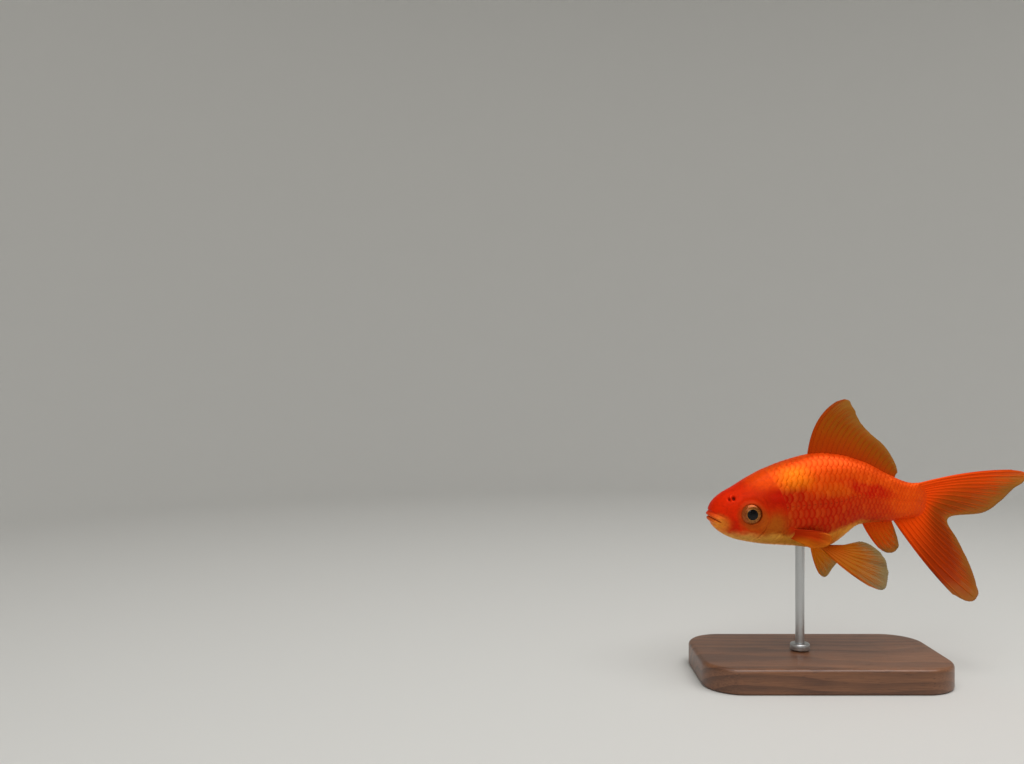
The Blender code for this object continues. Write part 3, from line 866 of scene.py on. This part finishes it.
def make_scales():
    """The coat: overlapping scales from the gill covers to the tail's root."""
    coat = scale_finish()
    helpers = {"Bed": scale_bed(), "Blank": scale_blank()}
    mesh = grown_by(
        "scale_coat", scale_tree(), helpers, Columns=SCALE_COLUMNS, Rows=SCALE_ROWS,
        Relief=SCALE_RELIEF * MM, Patch=SCALE_PATCH, Seed=SEED, Finish=coat,
    )
    add_piece("scale_coat", mesh, coat, "skin")


# ---------------------------------------------------------------- finishes of the body


def coat_colour(tree):
    """The fish's markings, and how golden each place is."""
    place = fish_place(tree)
    x0, _, z0 = tree.split(place)
    # The markings' outlines wander a little.
    drift = tree.noise(place, 0.22, 3.0, out=1)
    drift = tree.vector_math("SUBTRACT", drift, (0.5, 0.5, 0.5))
    drift = tree.vector_math("MULTIPLY", drift, (4.0, 0.0, 3.4))
    x, _, z = tree.split(tree.vector_math("ADD", place, drift))

    def patch(name):
        return tree.spot(x, z, *PATCHES[name])

    # The orange of the back starts over the eye and reaches lower towards the tail.
    edge = 7.6 - 2.0 * tree.ramp(x, 6.0, 18.0) - 11.0 * tree.ramp(x, 39.0, 54.0)
    colour = tree.mix(tree.ramp(z - edge, -1.6, 2.4), COAT["flank"], COAT["back"])
    # Painted shade: the trunk's lower flank is darker, as under a light from above.
    low = tree.fall(z, -5.5, 4.0) * tree.ramp(x, 10.0, 16.0) * tree.fall(x, 33.0, 42.0)
    colour = tree.mix(0.85 * low, colour, COAT["painted low flank shade"])
    colour = tree.mix(0.6 * tree.ramp(x, 40.0, 50.0), colour, COAT["stalk"])
    colour = tree.mix(tree.fall(x + 0.25 * z, 5.5, 15.0), colour, COAT["head"])
    deep = tree.larger(patch("red nape"), 0.65 * patch("red flank"))
    deep = tree.larger(deep, 0.6 * patch("red snout"))
    colour = tree.mix(deep, colour, COAT["deep red"])
    tilted = z + REAR_BAND_TILT * (x - REAR_BAND[0])
    band = tree.spot(x, tilted, REAR_BAND, REAR_BAND_REACH)
    colour = tree.mix(band, colour, COAT["rear band"])
    # Painted highlight: a lighter orange patch on the upper flank, where light shines.
    colour = tree.mix(0.5 * patch("painted highlight"), colour, COAT["painted highlight"])
    # Painted light: a lighter golden patch on the nape, a painted sheen. The same patch makes the
    # nape more metallic.
    nape = patch("painted nape sheen")
    colour = tree.mix(0.55 * nape, colour, COAT["gold"])
    cheek = tree.larger(0.8 * patch("cheek"), 0.7 * patch("under eye"))
    colour = tree.mix(cheek, colour, COAT["cheek"])
    # The belly's edge dips under the eye and climbs towards the vent.
    edge = -4.1 - 1.0 * tree.ramp(x, 3.0, 9.0) + 0.6 * tree.ramp(x, 10.0, 16.0)
    edge = edge + 3.0 * tree.ramp(x, 28.0, 37.0)
    belly = tree.fall(z - edge, -0.9, 1.0) * tree.fall(x, 35.0, 44.0)
    pale = tree.mix(tree.ramp(x, 6.0, 20.0), COAT["throat"], COAT["belly"])
    colour = tree.mix(belly, colour, pale)
    colour = tree.mix(0.9 * patch("chin"), colour, COAT["chin"])
    colour = tree.mix(0.45 * patch("lips"), colour, COAT["lips"])
    # A darker ring of painted shade frames the eye, as shade in its socket.
    reach = (EYE_SHADE_RADIUS, EYE_SHADE_RADIUS)
    ring = tree.spot(x0, z0, (EYE_PLACE[0], EYE_PLACE[2]), reach, 0.2)
    colour = tree.mix(0.5 * ring, colour, COAT["painted eye socket shade"])
    gold = tree.larger(cheek, 0.8 * belly)
    return colour, tree.larger(gold, 0.6 * nape)


def skin_finish():
    """Bare skin on the head and under the scales: moist, finely pored."""
    tree, surface = finish("goldfish skin")
    colour, gold = coat_colour(tree)
    place = fish_place(tree)
    mottled = tree.noise(place, 1.1, 4.0, 0.6)
    colour = tree.mix(0.24 * tree.ramp(mottled, 0.38, 0.7), colour, (150, 20, 4))
    # Tiny dark pigment cells, seen close to.
    cells = tree.add("ShaderNodeTexVoronoi", {}, {"Vector": place, "Scale": 5.5})
    freckle = tree.fall(cells, 0.12, 0.34) * tree.ramp(mottled, 0.3, 0.6)
    colour = tree.mix(0.16 * freckle, colour, (120, 22, 6))
    # Painted shade darkens the skin's deep folds, as far as each point's hollow says.
    colour = tree.mix(0.85 * tree.attribute("hollow"), colour, (72, 12, 10))
    pores = tree.noise(place, 7.0, 2.0)
    relief = 0.5 * mottled + 0.25 * pores + 0.35 * tree.ramp(cells, 0.0, 0.5)
    return surface({
        "Base Color": colour, "Roughness": 0.34 + 0.2 * mottled, "Metallic": 0.2 + 0.3 * gold,
        "Normal": tree.bump(0.3, 0.0001, relief), "Coat Weight": 0.025, "Coat Roughness": 0.16,
        "Specular IOR Level": 0.2, "Specular Tint": WARM_SHEEN,
    })


def scale_finish():
    """Scales: the skin's colours, each a little apart from its neighbours."""
    tree, surface = finish("goldfish scales")
    colour, gold = coat_colour(tree)
    tone = tree.attribute("tone")
    local_x, local_y, _ = tree.split(tree.attribute("local", 1))
    colour = tree.mix(0.08 * tree.ramp(tone, 0.1, 1.0), colour, (255, 140, 40))
    colour = tree.mix(0.1 * tree.ramp(tone, -0.1, -1.0), colour, (150, 16, 2))
    rear = local_x + 1.2 * local_y * local_y
    colour = tree.mix(0.12 * tree.ramp(rear, 0.6, 0.98), colour, (150, 18, 2))
    heart = tree.ramp(rear, -0.3, 0.35) * tree.fall(rear, 0.35, 0.8)
    colour = tree.mix(0.06 * heart, colour, (255, 176, 84))
    # The side line: a short tube on each scale of one row.
    tube = tree.length((local_x - 0.35) / 0.26, local_y * math.sqrt(160.0))
    tube = tree.fall(tube, 0.5, 1.2) * tree.attribute("line")
    colour = tree.mix(0.4 * tube, colour, (110, 16, 4))
    # Fine growth rings run parallel to each scale's rear edge.
    rings = tree.math("SINE", rear * 58.0)
    fan = tree.math("SINE", (local_y / (local_x + 1.9)) * 74.0)
    relief = rings * 0.5 + fan * 0.35 * tree.ramp(local_x, 0.1, 0.6) + 3.0 * tube
    return surface({
        "Base Color": colour, "Roughness": 0.38 + 0.06 * tone, "Metallic": 0.35 + 0.25 * gold,
        "Normal": tree.bump(0.12, 0.00004, relief), "Coat Weight": 0.02, "Coat Roughness": 0.2,
        "Specular IOR Level": 0.16, "Specular Tint": WARM_SHEEN,
    })


# ---------------------------------------------------------------- eyes


def eye_finish():
    """A coppery gold iris round a black pupil, under a clear wet surface."""
    tree, surface = finish("goldfish eye")
    x, _, z = tree.split(fish_place(tree))
    x, z = x - EYE_PLACE[0], z - EYE_PLACE[2]
    radius, angle = tree.length(x, z), tree.math("ARCTAN2", z, x)
    # Streaks run out from the pupil.
    turn = [tree.math(word, angle) * 2.6 for word in ("SINE", "COSINE")]
    streaks = tree.noise(tree.join(radius * 0.8, *turn), 3.4, 4.0, 0.6)
    iris = tree.mix(tree.ramp(streaks, 0.34, 0.66), IRIS["dark"], IRIS["light"])
    iris = tree.mix(0.6 * tree.ramp(z, 0.6, 2.1), iris, IRIS["top"])
    iris = tree.mix(0.6 * tree.fall(x, -2.0, -0.4), iris, IRIS["front"])
    iris = tree.mix(0.7 * tree.ramp(radius, RIM_RADIUS, 2.3), iris, IRIS["rim"])
    ring = tree.fall(abs(radius - RING_RADIUS), 0.02, 0.1)
    iris = tree.mix(0.6 * ring, iris, IRIS["ring"])
    pupil = tree.fall(radius, PUPIL_RADIUS, PUPIL_RADIUS + 0.06)
    return surface({
        "Base Color": tree.mix(pupil, iris, IRIS["pupil"]), "Roughness": 0.3 - 0.2 * pupil,
        "Metallic": 0.55 * (1 - pupil), "Coat Weight": 0.22, "Coat Roughness": 0.03,
        "Specular IOR Level": 0.1,
    })


def make_eyes():
    """Two globes. The pupil bulges a little, as a fish's lens does."""
    eye = eye_finish()
    along, out, up = EYE_PLACE
    bulge = 0.1
    for side, word in ((-1, "left"), (1, "right")):
        tilts = np.linspace(0.0, math.pi, 61)[1:-1]
        tilt, turn = np.meshgrid(tilts, full_turn(ROUND_SIDES), indexing="ij")
        wide = EYE_RADIUS * np.sin(tilt)
        # The globe is flatter in front than a ball, so its edge meets the skin.
        bend = np.cos(tilt)
        deep = EYE_DEPTH * np.where(bend > 0, np.abs(bend) ** 0.62, bend)
        lens = bulge * ridge(wide, 1.0) - 0.05 * ridge(wide - 1.5, 0.35)
        deep = deep + np.where(deep > 0, lens, 0)
        points = np.stack([
            along + wide * np.cos(turn), side * (out + deep), up - side * wide * np.sin(turn),
        ], axis=-1)
        front = (along, side * (out + EYE_DEPTH + bulge), up)
        back = (along, side * (out - EYE_DEPTH), up)
        mesh = grid_mesh(f"eyeball_{word}", points, closed=True, tip=front, end=back)
        outward(mesh)
        add_piece(f"eyeball_{word}", mesh, eye, "eye", f"eye_{word}")


# ---------------------------------------------------------------- fins


def midline_root(first, last, edge, sunk):
    """A fin's root on the back or the belly, sunk below the skin."""

    def root(share):
        along = first + (last - first) * share
        height = profile_at_root(np.sqrt(along))[..., edge] + sunk
        return np.stack([along, spine(along), height], axis=-1)

    return root


def fin_points(rails, share, reach):
    """Places on a fin, at shares of its rays and reaches from root to margin."""
    root, arch, margin = (rail(share) for rail in rails)
    reach = np.asarray(reach)[..., None]
    bowed = root + (arch - root) * 2 * reach * (1 - reach)
    place = bowed + (margin - root) * reach * np.abs(reach)
    # Slow folds run out along the fin.
    length = np.linalg.norm(margin - root, axis=-1)
    fold = np.sin(17.0 * share + 1.0) + 0.6 * np.sin(31.0 * share)
    place[..., 1] += 0.011 * length * fold * np.clip(reach[..., 0], 0, 1) ** 2
    return place


def ray_course(count, k, start, hard, rng):
    """One ray as lines: its reaches, its forks and its thickness. A fork is a way, a
    part of the gap between rays, and the reach where it starts."""
    # A ray forks at about two fifths of its length, and again at seven tenths.
    first, second = 0.36 + 0.07 * rng.random(), 0.68 + 0.06 * rng.random()
    tip = 0.975 - 0.01 * rng.random()
    if k in hard:
        return [(np.linspace(start, tip, 30), [], 1.5)]
    lines = [(np.linspace(start, first + 0.03, 14), [], 1.0)]
    for a in (-1, 1):
        fork = (a, 0.25 / count, first)
        lines.append((np.linspace(first, second + 0.02, 10), [fork], 0.86))
        for b in (-1, 1):
            reach = np.linspace(second, tip - 0.015 * rng.random(), 10)
            lines.append((reach, [fork, (b, 0.125 / count, second)], 0.74))
    return lines


def ray_lines(rails, count, start, girth, hard, rng):
    """The branching rays of a fin, as lines with a girth. Hard rays don't branch."""
    points, edges, girths, shares, reaches = [], [], [], [], []
    for k in range(count):
        for reach, forks, thickness in ray_course(count, k, start, hard, rng):
            share = np.full(len(reach), (k + 0.5) / count)
            for way, part, low in forks:
                share = share + way * part * np.clip((reach - low) / (1 - low), 0, 1) ** 0.8
            first = sum(len(p) for p in points)
            edges += [(first + i, first + i + 1) for i in range(len(reach) - 1)]
            points.append(fin_points(rails, share, reach))
            girths.append(girth * MM * thickness * (1 - 0.62 * np.clip(reach, 0, 1)))
            shares.append(share)
            reaches.append(reach)
    mesh = bpy.data.meshes.new("ray_lines")
    mesh.from_pydata(((np.concatenate(points) + LIP) * MM).tolist(), edges, [])
    for name, values in (("girth", girths), ("share", shares), ("reach", reaches)):
        carry(mesh, name, np.concatenate(values))
    return mesh


def fin_tree():
    """Geometry nodes: a round bar along every ray, joined to the fin's web."""
    group = bpy.data.node_groups.new("fin rays", "GeometryNodeTree")
    tree = Tree(group)
    given = tree.interface(Lines="Object", Web="Object", Sides="Int", Finish="Material")
    lines, web = tree.shape_of(given["Lines"]), tree.shape_of(given["Web"])
    curve = tree.add("GeometryNodeMeshToCurve", {}, {0: lines})
    profile = tree.add("GeometryNodeCurvePrimitiveCircle", {}, {0: given["Sides"], 4: 1.0})
    inputs = {0: curve, 1: profile, 2: tree.named("girth"), 3: True}
    rays = tree.add("GeometryNodeCurveToMesh", {}, inputs)
    rays = tree.store(rays, "ray", 1.0)
    rays = tree.add("GeometryNodeSetShadeSmooth", {}, {0: rays, 2: True})
    joined = tree.add("GeometryNodeJoinGeometry", {}, {0: rays})
    tree.nodes.links.new(web.socket, joined.socket.node.inputs[0])
    tree.end(joined, given["Finish"])
    return group


def web_mesh(rails, rays, size, start, notch, rng):
    """The thin web between the rays, closed, with a margin that dips between them."""
    shares = np.linspace(0.0, 1.0, size[0])
    dip = 0.5 - 0.5 * np.cos(2 * math.pi * shares * rays * 4)
    ragged = np.interp(shares, np.linspace(0, 1, rays * 2 + 1), rng.random(rays * 2 + 1))
    # The fin's two outer corners are rounded off.
    corner = np.minimum(shares, 1 - shares) * rays
    limit = 1 - notch * (0.3 * dip + 0.7 * ragged) - 0.08 * ridge(corner, 0.3)
    reach = start + (limit[:, None] - start) * np.linspace(0, 1, size[1])[None, :]
    share = np.broadcast_to(shares[:, None], reach.shape)
    sheet = fin_points(rails, share, reach)
    half = (WEB_THICKNESS * (1 - 0.7 * np.clip(reach, 0, 1)))[..., None] / 2
    normals = grid_normals(sheet)
    there, back = sheet + normals * half, sheet - normals * half
    rings = np.concatenate([there, back[:, ::-1]], axis=1)
    middle = size[1] // 2
    mesh = grid_mesh("web", rings, closed=True, tip=sheet[0, middle], end=sheet[-1, middle])
    for name, values in (("share", share), ("reach", reach)):
        both = np.concatenate([values, values[:, ::-1]], axis=1).ravel()
        carry(mesh, name, np.append(both, [values[0, middle], values[-1, middle]]))
    outward(mesh)
    return mesh


def fin_finish(name):
    """A fin: strong colour at its root and front edge, paler and clearer outwards."""
    root, middle, margin, edge, clear, shades = FIN_COLOURS[name]
    tree, surface = finish(name)
    share, reach = tree.attribute("share"), tree.attribute("reach")
    ray = tree.attribute("ray")
    cloud = tree.noise(fish_place(tree), 0.35, 3.0, 0.6)
    streak = tree.noise(tree.join(share * 60.0, reach * 3.0), 1.0, 3.0, 0.6)
    far = reach + 0.24 * (cloud - 0.5) + 0.16 * (streak - 0.5)
    colour = tree.mix(tree.ramp(far, 0.05, 0.6), root, middle)
    colour = tree.mix(tree.ramp(far, 0.6, 1.0), colour, margin)
    front = tree.fall(share, 0.02, edge)
    colour = tree.mix(0.7 * front, colour, root)
    colour = tree.mix(0.5 * ray * tree.fall(far, 0.7, 1.0), colour, root)
    # Tints over parts of the fin. On the tail's lower lobe the tint is painted shade.
    for middle_share, width, amount, shade in shades:
        near = tree.fall(abs(share - middle_share), 0.08, width) * tree.ramp(reach, 0.0, 0.5)
        near = near * (1 - 0.75 * tree.ramp(far, 0.66, 0.98)) * (1 - 0.25 * ray)
        colour = tree.mix(amount * near, colour, shade)
    # Every ray is a row of short joints.
    joint = tree.ramp(tree.math("SINE", reach * 420.0 + share * 700.0), 0.6, 1.0) * ray
    colour = tree.mix(0.22 * joint * (1 - 0.6 * reach), colour, (96, 26, 6))
    solid = 1 - tree.ramp(far, 0.25, 1.05) * clear
    return surface({
        "Base Color": colour, "Roughness": 0.44 + 0.1 * cloud,
        "Alpha": tree.larger(solid, tree.larger(0.97 * ray, 0.97 * front)),
        "Normal": tree.bump(0.2, 0.0001, streak + 0.5 * joint),
        "Specular IOR Level": 0.16, "Specular Tint": WARM_SHEEN,
    })


def make_fin(
    node, rails, material, group, seed, rays, size, start=0.0, girth=0.19, hard=(0,),
    notch=0.022,
):
    """One fin, web and rays as one piece in place of its solid. size is the web's grid,
    and start the reach at which the fin begins, below 0 inside the flesh."""
    lines = ray_lines(rails, rays, start, girth, hard, np.random.default_rng(SEED + seed))
    web = web_mesh(rails, rays, size, start, notch, np.random.default_rng(SEED + seed))
    name, helpers = f"{node}_rays", {"Lines": lines, "Web": web}
    mesh = grown_by(name, group, helpers, Sides=RAY_SIDES, Finish=material)
    add_piece(name, mesh, material, "fin", node)


def make_middle_fins(group):
    """The dorsal, anal and tail fins."""
    rails = [midline_root(*DORSAL_ROOT, BACK, -1.2), *map(smooth_curve, DORSAL)]
    make_fin("dorsal_fin", rails, fin_finish("dorsal fin"), group, 1, 18, (289, 50))
    rails = [midline_root(*ANAL_ROOT, BELLY, 1.0), *map(smooth_curve, ANAL)]
    make_fin("anal_fin", rails, fin_finish("anal fin"), group, 2, 7, (141, 40))
    rails = [smooth_curve(rows) for rows in TAIL]
    make_fin(
        "tail_fin", rails, fin_finish("tail fin"), group, 3, 20, (401, 70), start=-0.2,
        girth=0.24, hard=(0, 1, 18, 19), notch=0.013,
    )


def make_paired_fins(group):
    """The pelvic and pectoral fins, left and right."""
    for seed, word, tables in ((4, "left", PELVIC_LEFT), (5, "right", PELVIC_RIGHT)):
        rails = [smooth_curve(rows) for rows in tables]
        # The right fin's finish is painted lighter than the left's: painted light for its place in
        # shade.
        paired = fin_finish(f"{word} pelvic fin")
        make_fin(f"pelvic_fin_{word}", rails, paired, group, seed, 9, (181, 40), start=-0.1)
    pressed = fin_finish("pectoral fins")
    for seed, word, side in ((5, "left", -1), (7, "right", 1)):
        mirrored = np.array([1.0, 1.0, side, 1.0])
        rails = [smooth_curve(np.array(rows) * mirrored) for rows in PECTORAL_RIGHT]
        make_fin(
            f"pectoral_fin_{word}", rails, pressed, group, seed, 14, (225, 36), start=-0.12,
            girth=0.13,
        )


# ---------------------------------------------------------------- the stand


def wood_finish():
    """Oiled walnut, with its grain along the base."""
    tree, surface = finish("walnut")
    place = tree.vector_math("MULTIPLY", tree.object_place(), (1 / MM, 1 / MM, 1 / MM))
    wander = tree.stretched_noise(place, (0.012, 0.05, 0.05), 3.0)
    _, y, z = tree.split(place)
    # Growth rings round a pith that lies far below the base, on the fish's left.
    radius = tree.length(y + 21.0 + 13.0 * wander, z + 46.0 + 7.0 * wander)
    rings = tree.math("FRACT", radius * 0.42)
    late = tree.ramp(rings, 0.15, 0.92) * tree.fall(rings, 0.92, 1.0)
    grain = tree.stretched_noise(place, (0.09, 3.4, 3.4), 4.0, 0.65)
    pores = tree.ramp(tree.stretched_noise(place, (0.28, 6.0, 6.0), 1.0), 0.62, 0.72)
    colour = tree.mix(0.75 * late, (128, 82, 52), (84, 50, 31))
    colour = tree.mix(0.5 * tree.ramp(grain, 0.35, 0.7), colour, (66, 39, 25))
    cloud = tree.noise(place, 0.05, 2.0)
    colour = tree.mix(0.3 * tree.ramp(cloud, 0.35, 0.7), colour, (148, 98, 62))
    return surface({
        "Base Color": tree.mix(0.65 * pores, colour, (38, 22, 15)),
        "Roughness": 0.36 + 0.16 * grain, "Normal": tree.bump(0.25, 0.0001, 0.4 * grain - pores),
        "Coat Weight": 0.25, "Coat Roughness": 0.22,
    })


def steel_finish():
    """Brushed steel, turned on a lathe: the fine marks run round the rod."""
    tree, surface = finish("brushed steel")
    place = tree.object_place()
    marks = tree.stretched_noise(place, (900.0, 900.0, 26000.0), 3.0, 0.7)
    smear = tree.stretched_noise(place, (700.0, 700.0, 300.0), 2.0)
    return surface({
        "Base Color": tree.mix(marks, (176, 177, 178), (208, 209, 209)), "Metallic": 1.0,
        "Roughness": 0.22 + 0.16 * marks + 0.1 * smear,
        "Normal": tree.bump(0.12, 0.00002, marks),
    })


def make_base():
    """The base: a slab with round corners and a rounded top edge."""
    low, high = box_of("stand_base")
    middle, half = (low + high) / 2, (high - low) / 2
    # The outline, as a corner's centre and the way out from it.
    centres, ways = [], []
    for quarter, (sx, sy) in enumerate(((1, 1), (-1, 1), (-1, -1), (1, -1))):
        for angle in np.linspace(0, math.pi / 2, BASE_CORNER_SIDES) + quarter * math.pi / 2:
            centres.append((sx * (half[0] - BASE_CORNER), sy * (half[1] - BASE_CORNER)))
            ways.append((math.cos(angle), math.sin(angle)))
    centres, ways = np.array(centres), np.array(ways)
    # Height above the floor and how far in, up the wall, over the edge and across the top.
    top = high[2]
    section = [(0.0, 0.55), (0.35, 0.12), (0.6, 0.0)]
    for bend in np.linspace(0, math.pi / 2, 9):
        height = top + BASE_EDGE * (math.sin(bend) - 1)
        section.append((height, BASE_EDGE * (1 - math.cos(bend))))
    section += [(top, 3.0), (top, 6.0), (top, 8.6)]
    rings = []
    for height, inset in section:
        at = middle[:2] + centres + ways * (BASE_CORNER - inset)
        rings.append(np.column_stack([at, np.full(len(at), height)]))
    points = np.array(rings) - LIP
    under, over = (np.array([middle[0], middle[1], height]) - LIP for height in (0.0, top))
    mesh = grid_mesh("display_base", points, closed=True, tip=under, end=over)
    outward(mesh)
    mesh.set_sharp_from_angle(angle=math.radians(50))
    add_piece("display_base", mesh, wood_finish(), "walnut", "stand_base")


def turned_rings(section, centre=(0.0, 0.0)):
    """Rings of points from each radius and height of a section."""
    turns = full_turn(ROUND_SIDES)
    return np.array([
        np.column_stack([
            centre[0] + r * np.cos(turns), centre[1] + r * np.sin(turns), np.full(ROUND_SIDES, z),
        ]) for r, z in section
    ]) - LIP


def turned(name, node, section, bored=False):
    """A shape turned on the axis of a solid. A bored section's end meets its start."""
    low, high = box_of(node)
    points = turned_rings([*section, section[0]] if bored else section, (low + high) / 2)
    tip, end = (None, None) if bored else (points[0].mean(axis=0), points[-1].mean(axis=0))
    mesh = grid_mesh(name, points, closed=True, tip=tip, end=end)
    outward(mesh, merge=1e-7 if bored else 0.0)
    mesh.set_sharp_from_angle(angle=math.radians(35))
    return mesh


def make_rod():
    """The rod and its collar, turned from brushed steel."""
    steel = steel_finish()
    low, high = box_of("stand_rod")
    radius, bottom, top = (high[0] - low[0]) / 2, low[2], high[2]
    shoulder = radius - ROD_CHAMFER
    section = [(0.5, bottom), (shoulder, bottom), (radius, bottom + ROD_CHAMFER)]
    section += [(radius, z) for z in np.linspace(bottom + 1.0, top - 1.0, 12)]
    section += [(radius, top - ROD_CHAMFER), (shoulder, top), (0.5, top)]
    rod = turned("display_rod", "stand_rod", section)
    add_piece("display_rod", rod, steel, "steel", "stand_rod")
    low, high = box_of("stand_collar")
    wide, bottom, top, bore = (high[0] - low[0]) / 2, low[2], high[2], radius + ROD_CLEARANCE
    # A groove runs round the collar's wall, and its top edge is rounded.
    section = [
        (bore, bottom), (wide - 0.15, bottom), (wide, bottom + 0.15), (wide, bottom + 0.55),
        (wide - 0.09, bottom + 0.6), (wide - 0.09, bottom + 0.72), (wide, bottom + 0.77),
        (wide, top - 0.4), (wide - 0.08, top - 0.2), (wide - 0.25, top - 0.05),
        (wide - 0.45, top), (bore + 0.3, top), (bore + 0.1, top - 0.06), (bore, top - 0.2),
    ]
    collar = turned("display_collar", "stand_collar", section, bored=True)
    add_piece("display_collar", collar, steel, "steel", "stand_collar")


# ---------------------------------------------------------------- studio


def make_stage():
    """A pale floor that turns up into a wall all round, in one sweep."""
    section = [(0.02, 0.0), (120.0, 0.0), (FLOOR_REACH, 0.0)]
    for bend in np.linspace(0, math.pi / 2, 24)[1:]:
        reach = FLOOR_REACH + WALL_BEND * math.sin(bend)
        section.append((reach, WALL_BEND * (1 - math.cos(bend))))
    section += [(FLOOR_REACH + WALL_BEND, WALL_TOP)]
    mesh = grid_mesh("floor", turned_rings(section), closed=True, tip=np.zeros(3) - LIP)
    _, surface = finish("pale floor")
    mesh.materials.append(surface({"Base Color": rgba(FLOOR_COLOUR), "Roughness": 0.85}))
    link_new("floor", mesh)


def make_light():
    """A broad soft light overhead, a weak one from the front, and a pale room."""
    for name, (place, target, size, power) in LIGHTS.items():
        light = bpy.data.lights.new(name, "AREA")
        light.shape, light.energy = "RECTANGLE", power
        light.size, light.size_y = size
        holder = link_new(name, light)
        holder.location = place
        way = Vector(target) - Vector(place)
        holder.rotation_euler = way.to_track_quat("-Z", "Y").to_euler()
    world = bpy.data.worlds.new("pale room")
    world.use_nodes = True
    background = world.node_tree.nodes["Background"]
    background.inputs["Color"].default_value = ROOM_LIGHT
    background.inputs["Strength"].default_value = ROOM_STRENGTH
    bpy.context.scene.world = world
    bpy.context.scene.view_settings.view_transform = "Standard"


def make_camera():
    camera = bpy.data.cameras.new("camera")
    camera.sensor_width, camera.lens = 36.0, CAMERA_LENS
    camera.clip_start, camera.clip_end = 0.01, 10.0
    holder = link_new("camera", camera)
    holder.location = CAMERA_PLACE
    holder.rotation_euler = (math.pi / 2, 0.0, 0.0)
    bpy.context.scene.camera = holder


def main():
    make_camera()
    make_skin()
    make_scales()
    make_eyes()
    rays = fin_tree()
    make_middle_fins(rays)
    make_paired_fins(rays)
    make_base()
    make_rod()
    make_stage()
    make_light()


main()
